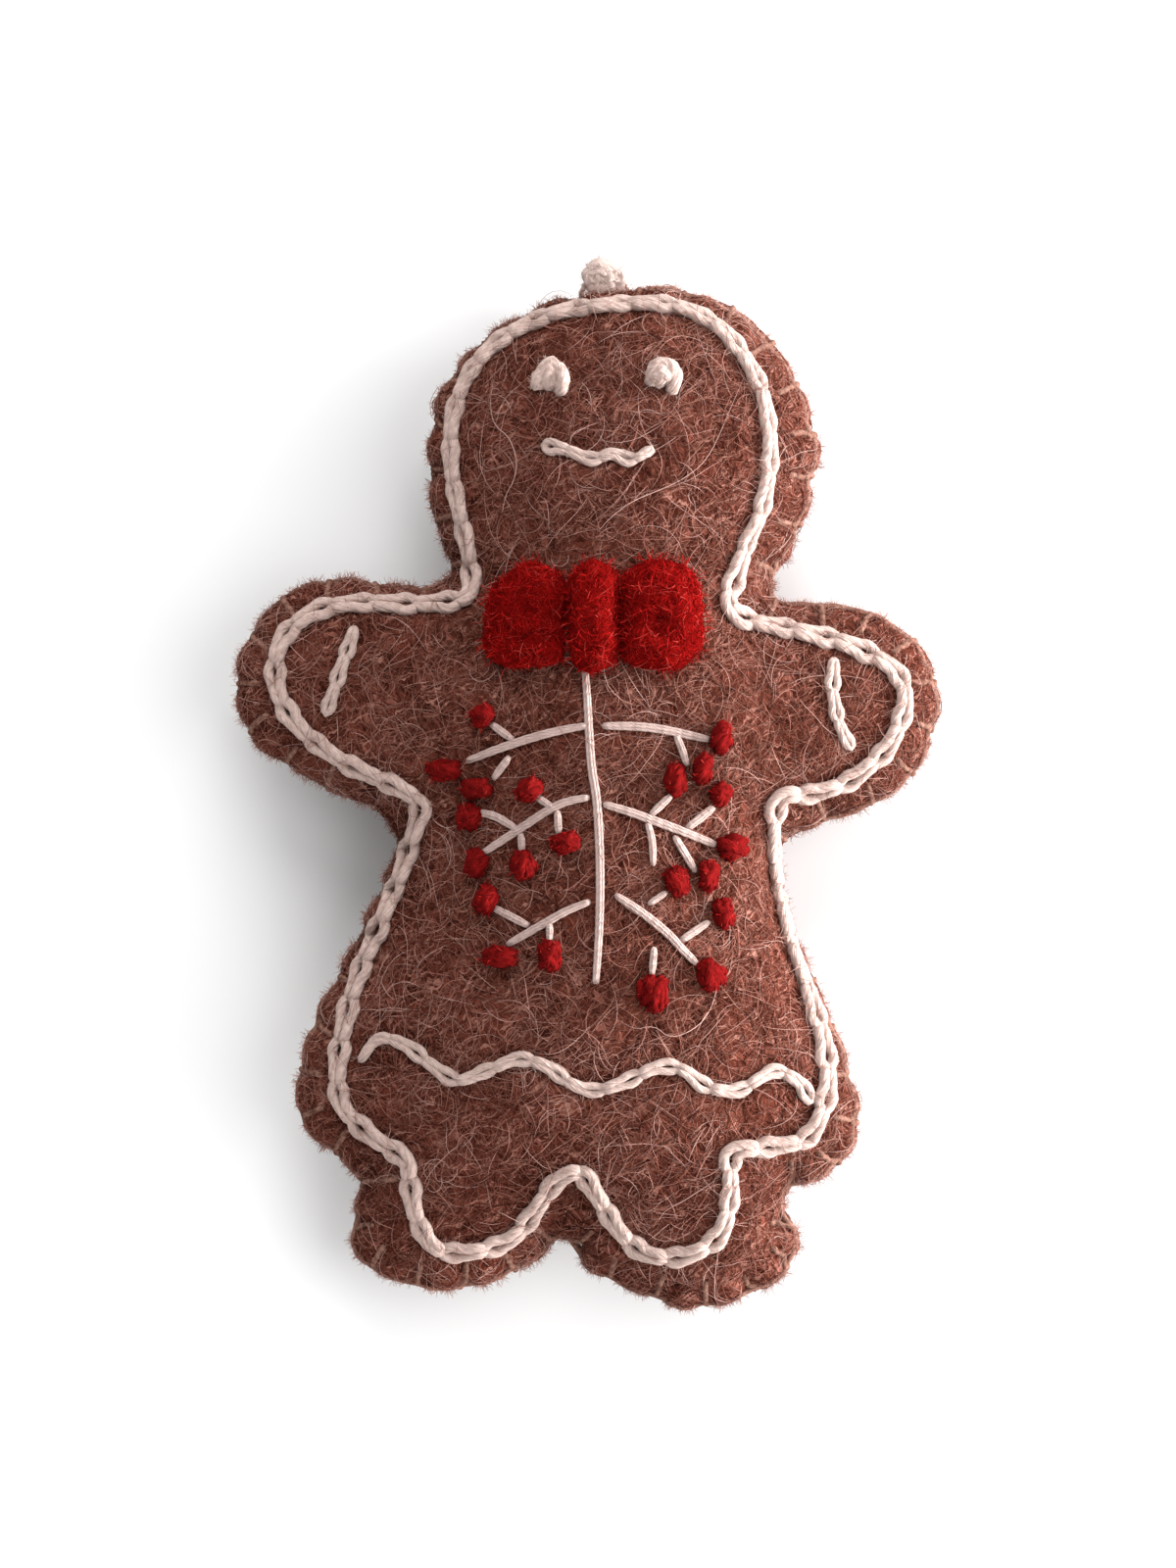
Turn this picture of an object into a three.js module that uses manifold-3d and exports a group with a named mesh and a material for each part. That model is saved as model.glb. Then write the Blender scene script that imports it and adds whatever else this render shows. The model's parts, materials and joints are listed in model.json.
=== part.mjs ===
// A stuffed felt ornament: a gingerbread figure in a skirt, cut twice from felt, sewn together round its rim
// over wool stuffing, embroidered on its front and hung by a cord loop. Millimetres, lying on its back with
// its face up (+Z) and its head towards +Y.
import * as THREE from 'three';
import { mergeVertices } from 'three/addons/utils/BufferGeometryUtils.js';
import Module from 'manifold-3d';

const wasm = await Module();
wasm.setup();

// Driving dimensions: felt and stuffing
const FIGURE_WIDTH = 71.4; // the cut felt from hand to hand
const FIGURE_HEIGHT = 103.8; // the cut felt from head to foot
const CLEARANCE = 0.3; // gap kept between neighbouring pieces
const FELT = 2; // thickness of the felt
const FRONT_PUFF = 9; // rise of the stuffed front above its rim
const BACK_PUFF = 8; // drop of the stuffed back below its rim
const FULLNESS = 0.6; // exponent of the puffed skin, fuller when lower
const FLAT_DEPTH = 0.5; // depth of the flat that the back lies on
const RIM_BAND = 1.7; // width of the band of facets along the rim
const FACET = 4.6; // side of the other facets

// Driving dimensions: threads
const CHAIN_WIDTH = 2; // outline chain stitch
const CHAIN_LINK = 5; // length of one of its links
const CHAIN_WAIST = 1.6; // its width where two links join
const LINE_WIDTH = 1.7; // chain stitch of the mouth, cuffs and hem
const LINE_STEP = 2.4; // spacing of the sections along a thread
const THREAD_HEIGHT = 0.9; // height of the chain stitches
const STEM_WIDTH = 0.95; // long stitches of the stem and branches
const TWIG_WIDTH = 0.85; // short stitches of the twigs
const STITCH_HEIGHT = 0.7; // height of stem, branches and twigs
const BERRY_RADIUS = 1.4;
const BERRY_HEIGHT = 2;
const LARGE_BERRY_RADIUS = 1.9;
const EYE_HEIGHT = 1.3;
const EDGE_THREAD = 0.7; // blanket stitch round the rim
const EDGE_PITCH = 5; // spacing of its bars

// Driving dimensions: bow and hanger
const BOW_LOOP_HEIGHT = 3.4;
const BOW_KNOT_HEIGHT = 4.2;
const BOW_EDGE = 1.2; // height of the bow's rounded edge
const HANGER_WIDTH = 4.8; // thread knot on the head's rim
const HANGER_RISE = 3.5; // its height above the rim
const HANGER_DEPTH = 2.6; // its thickness from front to back
const SHANK_WIDTH = 1.2; // wound shank behind the knot
const EYE_WALL = 0.5; // thread round the shank's eye
const EYE_DROP = 2.7; // eye's distance behind the seam
const CORD = 0.8; // diameter of the hanging loop's cord
const CORD_LIFT = 0.05; // its height above what the ornament lies on

// Pattern of the figure, stretched to its width and height: cut edge of both panels, clockwise from the hanger
const HEAD_RIGHT = [
  [1.8, 50.1], [5.5, 50.5], [9, 50.6], [14, 48.8], [18.5, 45], [21.7, 40], [23.2, 35], [22.7, 30],
  [20.8, 24.9], [18.6, 20.6],
];
const RIGHT_ARM = [
  [17.5, 18.5], [21.5, 18.4], [26, 18], [30, 16.8], [33.2, 14.7], [35.2, 11.5], [35.7, 8], [34.9, 4.2],
  [32.8, 0.8], [30.2, -1.5], [27, -2.8], [23.5, -4],
];
const SKIRT_RIGHT = [
  [19.9, -5.1], [19.9, -10], [21.5, -15.5], [23.4, -20.6], [25.2, -25], [26.8, -30], [27.6, -33.5],
  [26.7, -36.8], [24.6, -39.5], [22, -40.7],
];
const RIGHT_FOOT = [
  [19.2, -41.2], [20.2, -43.5], [21.3, -46], [20.8, -48.8], [18.6, -51], [15.5, -52.5], [11.5, -53.2],
  [7.5, -52.5], [3.5, -51], [0.3, -49.2], [-1.5, -47],
];
const LEFT_FOOT = [
  [-2.7, -44.7], [-4.2, -46.8], [-5.8, -48.8], [-8.5, -50.1], [-11.5, -51.2], [-15.5, -51.4], [-19.5, -50.3],
  [-22.9, -48.4], [-24, -45.5], [-23.5, -42.3],
];
const SKIRT_LEFT = [
  [-21.8, -40.1], [-24, -38.9], [-26.5, -36.8], [-29, -34.6], [-29.6, -31.5], [-29, -28], [-28, -24.5],
  [-25.9, -20.8], [-23.8, -16.5], [-21.8, -12], [-19.9, -8.5],
];
const LEFT_ARM = [
  [-19.3, -4.2], [-21.5, -2.5], [-25, -0.9], [-29, 1], [-32, 2.8], [-34.6, 5.5], [-35.7, 9.5], [-35, 13.8],
  [-32.5, 17.8], [-29, 20.2], [-24.5, 20.9], [-19.5, 20.3],
];
const HEAD_LEFT = [
  [-13.6, 20.2], [-13.8, 23], [-15, 26.5], [-15.9, 30.5], [-16.1, 34.5], [-15.4, 38.5], [-13.6, 42],
  [-10.8, 45.2], [-7, 47.6], [-2.5, 49.4],
];
const CUT_EDGE = [
  ...HEAD_RIGHT, ...RIGHT_ARM, ...SKIRT_RIGHT, ...RIGHT_FOOT, ...LEFT_FOOT, ...SKIRT_LEFT, ...LEFT_ARM,
  ...HEAD_LEFT,
];

// Middle of the outline chain stitch, clockwise from the top of the head
const CHAIN_LINE = [
  [0, 48.9], [6, 49.4], [9.5, 48.8], [13, 46.9], [15.6, 44], [17.7, 40], [18.6, 34], [17.7, 28],
  [16.1, 24.2], [14.8, 20.5], [14.3, 18.4], [16, 16.8], [20, 15.9], [24, 15], [28, 13.6], [31.5, 11.2],
  [32.2, 8], [30.7, 4], [28, 1.3], [23, -0.3], [19.4, -1.9], [18.6, -5.5], [18.6, -10], [20.5, -16],
  [22.8, -22], [24.3, -27], [24.2, -32], [22.3, -36], [18, -37], [14.7, -37.6], [14.5, -42], [13.2, -46],
  [10, -48], [6, -47.8], [3.2, -45.5], [1, -42], [-1, -39.5], [-3.5, -40.8], [-5.5, -43.5], [-7.8, -46.3],
  [-12, -47.7], [-15.5, -47.2], [-17.5, -44], [-18.2, -40], [-18.6, -38.2], [-22, -35.8], [-24.8, -33],
  [-25.5, -29.5], [-24.8, -24.5], [-23.4, -19.5], [-21.3, -14.5], [-19.2, -9.5], [-17.6, -4.5],
  [-17.2, -2], [-19.5, -0.3], [-24.5, 2], [-28.8, 5.2], [-31.6, 9.5], [-31.4, 14], [-28.8, 17],
  [-24.5, 18.4], [-18, 18.3], [-13.2, 18.7], [-11.9, 20], [-12.2, 23.5], [-13.2, 28], [-14, 33],
  [-13.6, 38], [-12, 42], [-9, 45.4], [-4.8, 47.8],
];

// Other embroidery, all as places on the front
const LEFT_EYE = [[-3.9, 43.5], [-2.1, 42], [-1.9, 40.1], [-3.7, 39.6], [-5.8, 40], [-5.5, 42]];
const RIGHT_EYE = [[7.6, 43.4], [9.2, 42], [9.6, 40.6], [8.8, 39.5], [7.8, 40.2], [6, 40.6], [6.1, 42.3]];
const MOUTH = [[-4.3, 34.7], [-2.6, 34.3], [0.3, 33], [2.4, 33.6], [4.4, 33], [6.4, 34]];
const LEFT_CUFF = [[-23.8, 15.8], [-25.2, 11.5], [-26.6, 7.4]];
const RIGHT_CUFF = [[25, 12.6], [24.9, 9.2], [25.6, 6], [26.7, 3.9]];
const HEM = [
  [-23.1, -28.1], [-21.2, -25.9], [-18.4, -26.6], [-16, -28.5], [-13.2, -30.1], [-10, -29], [-7, -27.9],
  [-4, -28.8], [-1.6, -30.5], [0.8, -31.1], [3.6, -30.3], [7, -28.8], [9.6, -29], [12, -30.7], [15, -31.2],
  [17.4, -30], [19.3, -29.3], [21.2, -30.7],
];
const BOW_LEFT = [
  [-2.6, 21.4], [-6, 22.7], [-9, 20.6], [-10.2, 17], [-9.7, 13.2], [-6.5, 12.2], [-2.8, 13], [-2.7, 17.2],
];
const BOW_KNOT = [
  [0.6, 23.5], [2.4, 22.3], [2.7, 17.5], [2.4, 12.7], [0.3, 11.5], [-1.3, 12.6], [-1.6, 17.3], [-1.4, 22.2],
];
const BOW_RIGHT = [
  [3.7, 21.4], [6.5, 22.9], [10.2, 22.3], [11.2, 18], [10.8, 13.2], [7, 11.9], [3.8, 13], [3.7, 17.3],
];
const STEM = [[0.1, 6.4], [0.8, -1.3], [1.2, -9], [1.4, -12.8], [0.8, -19.9]];

// Each branch leaves the stem at a height, with bare felt between them, bows past a point and ends at a
// berry. Each of its twigs leaves it at a share of its length for a berry of its own, or only points at one.
const BRANCHES = [
  {
    height: 5.8, side: -1, bare: 0.35, bow: [-5.9, 4.9], berry: [-14.4, 1.6],
    twigs: [{ at: 0.53, berry: [-10.7, 7] }, { at: 0.45, berry: [-11.2, -0.2] }],
  },
  {
    height: 6, side: 1, bare: 1.1, bow: [6.7, 5.9], berry: [13.6, 4.6],
    twigs: [{ at: 0.62, berry: [11.6, 1.6] }],
  },
  {
    height: -1.3, side: -1, bare: 0.35, bow: [-4.1, -2.1], berry: [-11.5, -7.9],
    twigs: [
      { at: 0.66, berry: [-12.4, -3.5] }, { at: 0.37, berry: [-6.1, -0.3] },
      { at: 0.3, berry: [-2.4, -5.9] }, { at: 0.62, berry: [-6.7, -8.2] },
    ],
  },
  {
    height: -2.2, side: 1, bare: 0.85, bow: [7.5, -3.6], berry: [14.6, -6.3],
    twigs: [
      { at: 0.38, berry: [8.6, 0.6] }, { at: 0.6, berry: [13.5, -1.2] },
      { at: 0.31, berry: [8.6, -10] }, { at: 0.54, berry: [12.3, -9.3] },
    ],
  },
  {
    height: -12, side: -1, bare: 0.95, bow: [-3.8, -14.1], berry: [-9, -17.5],
    twigs: [{ at: 0.66, berry: [-10.6, -11.8] }, { at: 0.4, berry: [-4.1, -17.5] }],
  },
  {
    height: -11.4, side: 1, bare: 1.15, bow: [7, -14.6], berry: [12.4, -19.4],
    twigs: [
      { at: 0.28, points: [8.6, -10] }, { at: 0.64, berry: [13.5, -13.3] },
      { at: 0.36, berry: [6.8, -21.3], large: true },
    ],
  },
];

// One leg of the hanging loop from the shank's eye to the loop's far end: out from the hanger's middle, back
// from the eye, and height as a share of the eye's
const CORD_LEG = [
  [0.25, 0, 1], [0.9, 0, 1], [1.9, 0.4, 0.92], [2.4, 1.3, 0.73], [2.5, 3, 0.41], [2.9, 5, 0.15],
  [3.5, 7.6, 0.02], [4.4, 11.4, 0], [5.1, 15.1, 0], [5.2, 18.4, 0], [4.3, 21.7, 0], [2.4, 23.5, 0],
];
const CORD_END = [0, 24.1, 0];

// Levels: the seam lies between the two panels' rims, and the flat of the back lies at height 0
const SEAM_GAP = CLEARANCE;
const SEAM = BACK_PUFF - FLAT_DEPTH + FELT + SEAM_GAP / 2;
const FRONT_RIM = SEAM + SEAM_GAP / 2;
const BACK_RIM = SEAM - SEAM_GAP / 2;

const COLOURS = {
  felt: [0x6e4138, 1], stuffing: [0xd8cfc2, 1], edge: [0x8a5648, 0.9], cream: [0xe6d2c6, 0.85],
  red: [0x800f0e, 0.95], berry: [0x7a1512, 0.9],
};

// Places on the pattern, and curves through them
const onPlan = (x, y) => new THREE.Vector3(x, y, 0);
const pattern = new THREE.Box3().setFromPoints(CUT_EDGE.map(([x, y]) => onPlan(x, y)));
const drawn = pattern.getSize(new THREE.Vector3());
const stretch = onPlan(FIGURE_WIDTH / drawn.x, FIGURE_HEIGHT / drawn.y);
const onPattern = ([x, y]) => onPlan(x, y).multiply(stretch);

function curveThrough(points, closed) {
  return new THREE.CatmullRomCurve3(points, closed, 'centripetal');
}

function closedLine(places, perPlace) {
  const line = curveThrough(places.map(onPattern), true).getPoints(perPlace * places.length).slice(1);
  return THREE.ShapeUtils.isClockWise(line) ? line.reverse() : line;
}

function openLine(curve, step) {
  return curve.getSpacedPoints(Math.max(2, Math.round(curve.getLength() / step)));
}

function isInside(point, outline) {
  let inside = false;
  outline.forEach((a, i) => {
    const b = outline[(i + 1) % outline.length];
    if (a.y > point.y !== b.y > point.y && point.x < a.x + ((b.x - a.x) * (point.y - a.y)) / (b.y - a.y)) {
      inside = !inside;
    }
  });
  return inside;
}

function edgeDistance(point, outline) {
  const edge = new THREE.Line3();
  const nearest = new THREE.Vector3();
  const distances = outline.map((a, i) => {
    edge.set(a, outline[(i + 1) % outline.length]).closestPointToPoint(point, true, nearest);
    return nearest.distanceTo(point);
  });
  return Math.min(...distances);
}

// Left of the way along a line at one of its points: inwards on an outline that turns counterclockwise
function leftOf(line, i, closed) {
  const count = line.length;
  const before = line[closed ? (i + count - 1) % count : Math.max(i - 1, 0)];
  const after = line[closed ? (i + 1) % count : Math.min(i + 1, count - 1)];
  return new THREE.Vector3(before.y - after.y, after.x - before.x, 0).normalize();
}

// Shape of a skin blown up over an outline, 0 at its edge and 1 at its top, relaxed on a square grid
function blownSkin(outline) {
  const cell = 1;
  const rounds = 300;
  const pace = 1.9;
  const box = new THREE.Box2().setFromPoints(outline).expandByScalar(2 * cell);
  const columns = Math.ceil((box.max.x - box.min.x) / cell) + 1;
  const rows = Math.ceil((box.max.y - box.min.y) / cell) + 1;
  const height = new Float64Array(columns * rows);
  const free = [];
  for (let i = 0; i < height.length; i += 1) {
    const place = onPlan(box.min.x + (i % columns) * cell, box.min.y + Math.floor(i / columns) * cell);
    if (isInside(place, outline)) {
      free.push(i);
    }
  }
  for (let round = 0; round < rounds; round += 1) {
    for (const i of free) {
      const level = (height[i - 1] + height[i + 1] + height[i - columns] + height[i + columns] + cell) / 4;
      height[i] += pace * (level - height[i]);
    }
  }
  const highest = Math.max(...height);
  const cellAt = (cells, count) => {
    const first = THREE.MathUtils.clamp(Math.floor(cells), 0, count - 2);
    return [first, THREE.MathUtils.clamp(cells - first, 0, 1)];
  };
  return ({ x, y }) => {
    const [column, across] = cellAt((x - box.min.x) / cell, columns);
    const [row, along] = cellAt((y - box.min.y) / cell, rows);
    const i = row * columns + column;
    const low = THREE.MathUtils.lerp(height[i], height[i + 1], across);
    const high = THREE.MathUtils.lerp(height[i + columns], height[i + columns + 1], across);
    return THREE.MathUtils.lerp(low, high, along) / highest;
  };
}

// Delaunay triangles of points on the plan, added one by one inside one large triangle
function delaunay(points) {
  const far = 1000;
  const all = [...points, onPlan(-far, -far), onPlan(far, -far), onPlan(0, far)];
  const withCircle = (corners) => {
    const [a, b, c] = corners.map((i) => all[i]);
    const ab = b.clone().sub(a);
    const ac = c.clone().sub(a);
    const twice = 2 * (ab.x * ac.y - ab.y * ac.x);
    const centre = new THREE.Vector3(
      (ac.y * ab.lengthSq() - ab.y * ac.lengthSq()) / twice,
      (ab.x * ac.lengthSq() - ac.x * ab.lengthSq()) / twice,
      0,
    );
    return { corners, radius: centre.length(), centre: centre.add(a) };
  };
  const count = points.length;
  let triangles = [withCircle([count, count + 1, count + 2])];
  points.forEach((point, i) => {
    const rim = new Map();
    triangles = triangles.filter(({ corners, centre, radius }) => {
      if (centre.distanceTo(point) >= radius) {
        return true;
      }
      corners.forEach((a, k) => {
        const b = corners[(k + 1) % 3];
        if (!rim.delete(`${b},${a}`)) {
          rim.set(`${a},${b}`, [a, b]);
        }
      });
      return false;
    });
    for (const [a, b] of rim.values()) {
      triangles.push(withCircle([a, b, i]));
    }
  });
  return triangles.map(({ corners }) => corners).filter((corners) => corners.every((i) => i < count));
}

// Facets of a piece seen in plan: points on its outline, a band just inside it and a lattice in the middle
function planFacets(outline, band, facet) {
  const points = [...outline];
  const apart = 0.6 * facet;
  const bandEdge = 0.9 * band;
  const latticeEdge = band + 0.4 * facet;
  const addApart = (point, fromEdge) => {
    const alone = points.slice(outline.length).every((other) => other.distanceTo(point) > apart);
    if (alone && isInside(point, outline) && edgeDistance(point, outline) > fromEdge) {
      points.push(point);
    }
  };
  outline.forEach((point, i) => {
    addApart(point.clone().addScaledVector(leftOf(outline, i, true), band), bandEdge);
  });
  const { min, max } = new THREE.Box2().setFromPoints(outline);
  const rowStep = facet * Math.sin(Math.PI / 3);
  for (let row = 0; min.y + row * rowStep < max.y; row += 1) {
    for (let x = min.x + (row % 2) * (facet / 2); x < max.x; x += facet) {
      addApart(onPlan(x, min.y + row * rowStep), latticeEdge);
    }
  }
  const triangles = delaunay(points).filter((corners) => {
    const [a, b, c] = corners.map((i) => points[i]);
    return isInside(new THREE.Triangle(a, b, c).getMidpoint(new THREE.Vector3()), outline);
  });
  return { points, triangles, rimCount: outline.length };
}

// A closed solid from corners and triangles, with its faces turned outwards
function closedSolid(corners, triangles) {
  const volume = triangles.reduce((sum, [a, b, c]) => {
    const normal = new THREE.Vector3().crossVectors(corners[b], corners[c]);
    return sum + corners[a].dot(normal);
  }, 0);
  const outward = volume > 0 ? triangles : triangles.map(([a, b, c]) => [a, c, b]);
  const geometry = new THREE.BufferGeometry().setFromPoints(corners);
  return geometry.setIndex(outward.flat());
}

// A sheet or pad over plan facets, between the height under it and the height of its top
function pad({ points }, triangles, under, over) {
  const corners = [under, over].flatMap((level) => points.map((p) => p.clone().setZ(level(p))));
  const above = (i) => i + points.length;
  const rim = new Map();
  triangles.forEach((triangle) => {
    triangle.forEach((a, k) => {
      const b = triangle[(k + 1) % 3];
      if (!rim.delete(`${b},${a}`)) {
        rim.set(`${a},${b}`, [a, b]);
      }
    });
  });
  const faces = triangles.flatMap(([a, b, c]) => [[a, c, b], [above(a), above(b), above(c)]]);
  for (const [a, b] of rim.values()) {
    faces.push([a, b, above(b)], [a, above(b), above(a)]);
  }
  return closedSolid(corners, faces);
}

// A solid through rings of as many corners, closed on itself or ended flat
function loft(rings, closed) {
  const sides = rings[0].length;
  const spans = closed ? rings.length : rings.length - 1;
  const corner = (ring, side) => (ring % rings.length) * sides + (side % sides);
  const faces = [];
  for (let ring = 0; ring < spans; ring += 1) {
    for (let side = 0; side < sides; side += 1) {
      const [a, b] = [corner(ring, side), corner(ring, side + 1)];
      const [c, d] = [corner(ring + 1, side + 1), corner(ring + 1, side)];
      faces.push([a, b, c], [a, c, d]);
    }
  }
  for (let side = 1; side < sides - 1 && !closed; side += 1) {
    const last = rings.length - 1;
    faces.push([corner(0, 0), corner(0, side + 1), corner(0, side)]);
    faces.push([corner(last, 0), corner(last, side), corner(last, side + 1)]);
  }
  return closedSolid(rings.flat(), faces);
}

const ornament = new THREE.Group();

function addPiece(name, geometry, [color, roughness]) {
  const piece = new THREE.Mesh(geometry, new THREE.MeshStandardMaterial({ color, roughness, metalness: 0 }));
  piece.name = name;
  ornament.add(piece);
  return piece;
}

// Felt panels and stuffing share their facets in plan, so the gaps between them stay even
const cutEdge = closedLine(CUT_EDGE, 2);
const hangerFoot = onPattern(HEAD_RIGHT[0]);
const feltFacets = planFacets(cutEdge, RIM_BAND, FACET);
const skin = blownSkin(cutEdge);
const rimPoints = new Set(cutEdge);
const puff = (point) => (rimPoints.has(point) ? 0 : skin(point) ** FULLNESS);
const frontInside = (point) => FRONT_RIM + FRONT_PUFF * puff(point);
const frontOutside = (point) => frontInside(point) + FELT;
const backOutside = (point) => Math.max(0, BACK_RIM - FELT - BACK_PUFF * puff(point));
const backInside = (point) => backOutside(point) + FELT;
const isStuffed = (corners) => corners.every((i) => i >= feltFacets.rimCount);
const stuffedFacets = feltFacets.triangles.filter(isStuffed);

addPiece('front_panel', pad(feltFacets, feltFacets.triangles, frontInside, frontOutside), COLOURS.felt);
addPiece('back_panel', pad(feltFacets, feltFacets.triangles, backOutside, backInside), COLOURS.felt);
addPiece(
  'stuffing',
  pad(feltFacets, stuffedFacets, (p) => backInside(p) + CLEARANCE, (p) => frontInside(p) - CLEARANCE),
  COLOURS.stuffing,
);

// Height of the front panel's facets over a place on the plan, and of its rim beyond its edge
const feltFaces = feltFacets.triangles.map((corners) => {
  const places = corners.map((i) => feltFacets.points[i]);
  return { face: new THREE.Triangle(...places), tops: places.map(frontOutside) };
});

function feltTop(place) {
  const flat = place.clone().setZ(0);
  const found = feltFaces.find(({ face }) => face.containsPoint(flat));
  if (!found) {
    return FRONT_RIM + FELT;
  }
  return found.face.getBarycoord(flat, new THREE.Vector3()).dot(new THREE.Vector3(...found.tops));
}

// Blanket stitch: a thread along the seam with a bar over both cut edges at each stitch, open at the hanger
function edgeStitching() {
  const fromHanger = cutEdge.map((point) => point.distanceTo(hangerFoot));
  const start = fromHanger.indexOf(Math.min(...fromHanger));
  const around = [...cutEdge.slice(start), ...cutEdge.slice(0, start + 1)];
  const lengths = [0];
  around.slice(1).forEach((point, i) => lengths.push(lengths[i] + point.distanceTo(around[i])));
  const total = lengths.at(-1);
  const placeAt = (length) => {
    const i = Math.max(1, lengths.findIndex((value) => value >= length));
    return around[i - 1].clone().lerp(around[i], (length - lengths[i - 1]) / (lengths[i] - lengths[i - 1]));
  };
  const smoothing = 0.8;
  const outwards = (length) => {
    const along = placeAt(length + smoothing).sub(placeAt(length - smoothing)).normalize();
    return new THREE.Vector3(along.y, -along.x, 0);
  };
  const margin = HANGER_WIDTH / 2 + CLEARANCE + EDGE_THREAD;
  const stitches = Math.floor((total - 2 * margin) / EDGE_PITCH);
  const pitch = (total - 2 * margin) / stitches;
  const bar = FELT + SEAM_GAP / 2;
  const rings = [];
  const addRing = (length, half) => {
    const place = placeAt(length);
    const out = outwards(length);
    const near = place.clone().addScaledVector(out, CLEARANCE);
    const far = place.clone().addScaledVector(out, CLEARANCE + EDGE_THREAD);
    const leastReach = CLEARANCE + 0.9 * EDGE_THREAD;
    if (edgeDistance(far, cutEdge) > leastReach) {
      const corner = (p, z) => p.clone().setZ(SEAM + z);
      rings.push([corner(near, -half), corner(far, -half), corner(far, half), corner(near, half)]);
    }
  };
  for (let stitch = 0; stitch < stitches; stitch += 1) {
    const middle = margin + (stitch + 0.5) * pitch;
    addRing(middle - EDGE_THREAD, EDGE_THREAD / 2);
    addRing(middle - EDGE_THREAD / 2, bar);
    addRing(middle + EDGE_THREAD / 2, bar);
    addRing(middle + EDGE_THREAD, EDGE_THREAD / 2);
    addRing(middle + pitch / 2, EDGE_THREAD / 2);
  }
  return loft(rings, false);
}

addPiece('edge_stitching', edgeStitching(), COLOURS.edge);

// A thread laid along a line on the front, tilted with the felt under it and lifted clear of its facets. Its
// section is in shares of its half width and its height. The felt's height is read across and along it.
const THREAD_SECTION = [[-1, 0.4], [-0.5, 1], [0.5, 1], [1, 0.4], [0.6, 0], [-0.6, 0]];
const ACROSS = [-1, -0.5, 0, 0.5, 1];
const ALONG = [0, 0.25, 0.5, 0.75, 1];

function laidThread(line, widthAt, height, closed = false) {
  const beds = line.map((place, i) => {
    const half = widthAt(i) / 2;
    const left = leftOf(line, i, closed);
    const [leftTop, rightTop] = [half, -half].map((out) => feltTop(place.clone().addScaledVector(left, out)));
    const across = left.clone().setZ((leftTop - rightTop) / (2 * half));
    const middle = place.clone().setZ((leftTop + rightTop) / 2);
    return { at: (side) => middle.clone().addScaledVector(across, side * half), across, lift: 0 };
  });
  const next = (i) => beds[(i + 1) % beds.length];
  beds.slice(0, closed ? beds.length : -1).forEach((bed, i) => {
    for (const side of ACROSS) {
      for (const share of ALONG) {
        const place = bed.at(side).lerp(next(i).at(side), share);
        const sunk = feltTop(place) - place.z;
        bed.lift = Math.max(bed.lift, sunk);
        next(i).lift = Math.max(next(i).lift, sunk);
      }
    }
  });
  const up = ({ x, y, z }) => new THREE.Vector3(-z * x, -z * y, 1).normalize();
  const rings = beds.map(({ at, across, lift }) =>
    THREAD_SECTION.map(([side, rise]) => {
      const corner = at(side).addScaledVector(up(across), rise * height);
      return corner.setZ(corner.z + lift + CLEARANCE);
    }),
  );
  return loft(rings, closed);
}

// Outline chain: each link swells between its two narrow ends
const chainCurve = curveThrough(CHAIN_LINE.map(onPattern), true);
const chainLinks = Math.round(chainCurve.getLength() / CHAIN_LINK);
const chainLine = chainCurve.getSpacedPoints(2 * chainLinks).slice(1);
const linkWidth = (i) => (i % 2 === 0 ? CHAIN_WIDTH : CHAIN_WAIST);
addPiece('outline_chain', laidThread(chainLine, linkWidth, THREAD_HEIGHT, true), COLOURS.cream);

// Mouth, cuffs and hem
const chainLines = { mouth: MOUTH, left_cuff: LEFT_CUFF, right_cuff: RIGHT_CUFF, hem: HEM };
for (const [name, places] of Object.entries(chainLines)) {
  const line = openLine(curveThrough(places.map(onPattern), false), LINE_STEP);
  addPiece(name, laidThread(line, () => LINE_WIDTH, THREAD_HEIGHT), COLOURS.cream);
}

// Rounded pads that lie on the front: eyes and bow
function paddedOnFelt(places, height, edge) {
  const outline = closedLine(places, 3);
  const size = new THREE.Box2().setFromPoints(outline).getSize(new THREE.Vector2());
  const reach = Math.min(size.x, size.y) / 2;
  const [band, facet] = [0.4 * reach, 0.8 * reach];
  const facets = planFacets(outline, band, facet);
  const under = (point) => feltTop(point) + CLEARANCE;
  const over = (point) => {
    const share = Math.min(1, edgeDistance(point, outline) / reach);
    return under(point) + edge + (height - edge) * Math.sqrt(1 - (1 - share) ** 2);
  };
  return pad(facets, facets.triangles, under, over);
}

addPiece('left_eye', paddedOnFelt(LEFT_EYE, EYE_HEIGHT, STITCH_HEIGHT), COLOURS.cream);
addPiece('right_eye', paddedOnFelt(RIGHT_EYE, EYE_HEIGHT, STITCH_HEIGHT), COLOURS.cream);
addPiece('bow_left_loop', paddedOnFelt(BOW_LEFT, BOW_LOOP_HEIGHT, BOW_EDGE), COLOURS.red);
addPiece('bow_knot', paddedOnFelt(BOW_KNOT, BOW_KNOT_HEIGHT, BOW_EDGE), COLOURS.red);
addPiece('bow_right_loop', paddedOnFelt(BOW_RIGHT, BOW_LOOP_HEIGHT, BOW_EDGE), COLOURS.red);

// Sprig: the stem starts under the bow's knot, and each stitch ends clear of what it points at
const knotFoot = closedLine(BOW_KNOT, 2).reduce((low, p) => (p.y < low.y ? p : low));
const stemCurve = curveThrough([onPlan(0, knotFoot.y - CLEARANCE), ...STEM.map(onPattern)], false);
const stemLine = openLine(stemCurve, LINE_STEP);
addPiece('sprig_stem', laidThread(stemLine, () => STEM_WIDTH, STITCH_HEIGHT), COLOURS.cream);

function stemAt(height) {
  const samples = 200;
  const away = (place) => Math.abs(place.y - height);
  return stemCurve.getPoints(samples).reduce((best, place) => (away(place) < away(best) ? place : best));
}

const berries = [];

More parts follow.
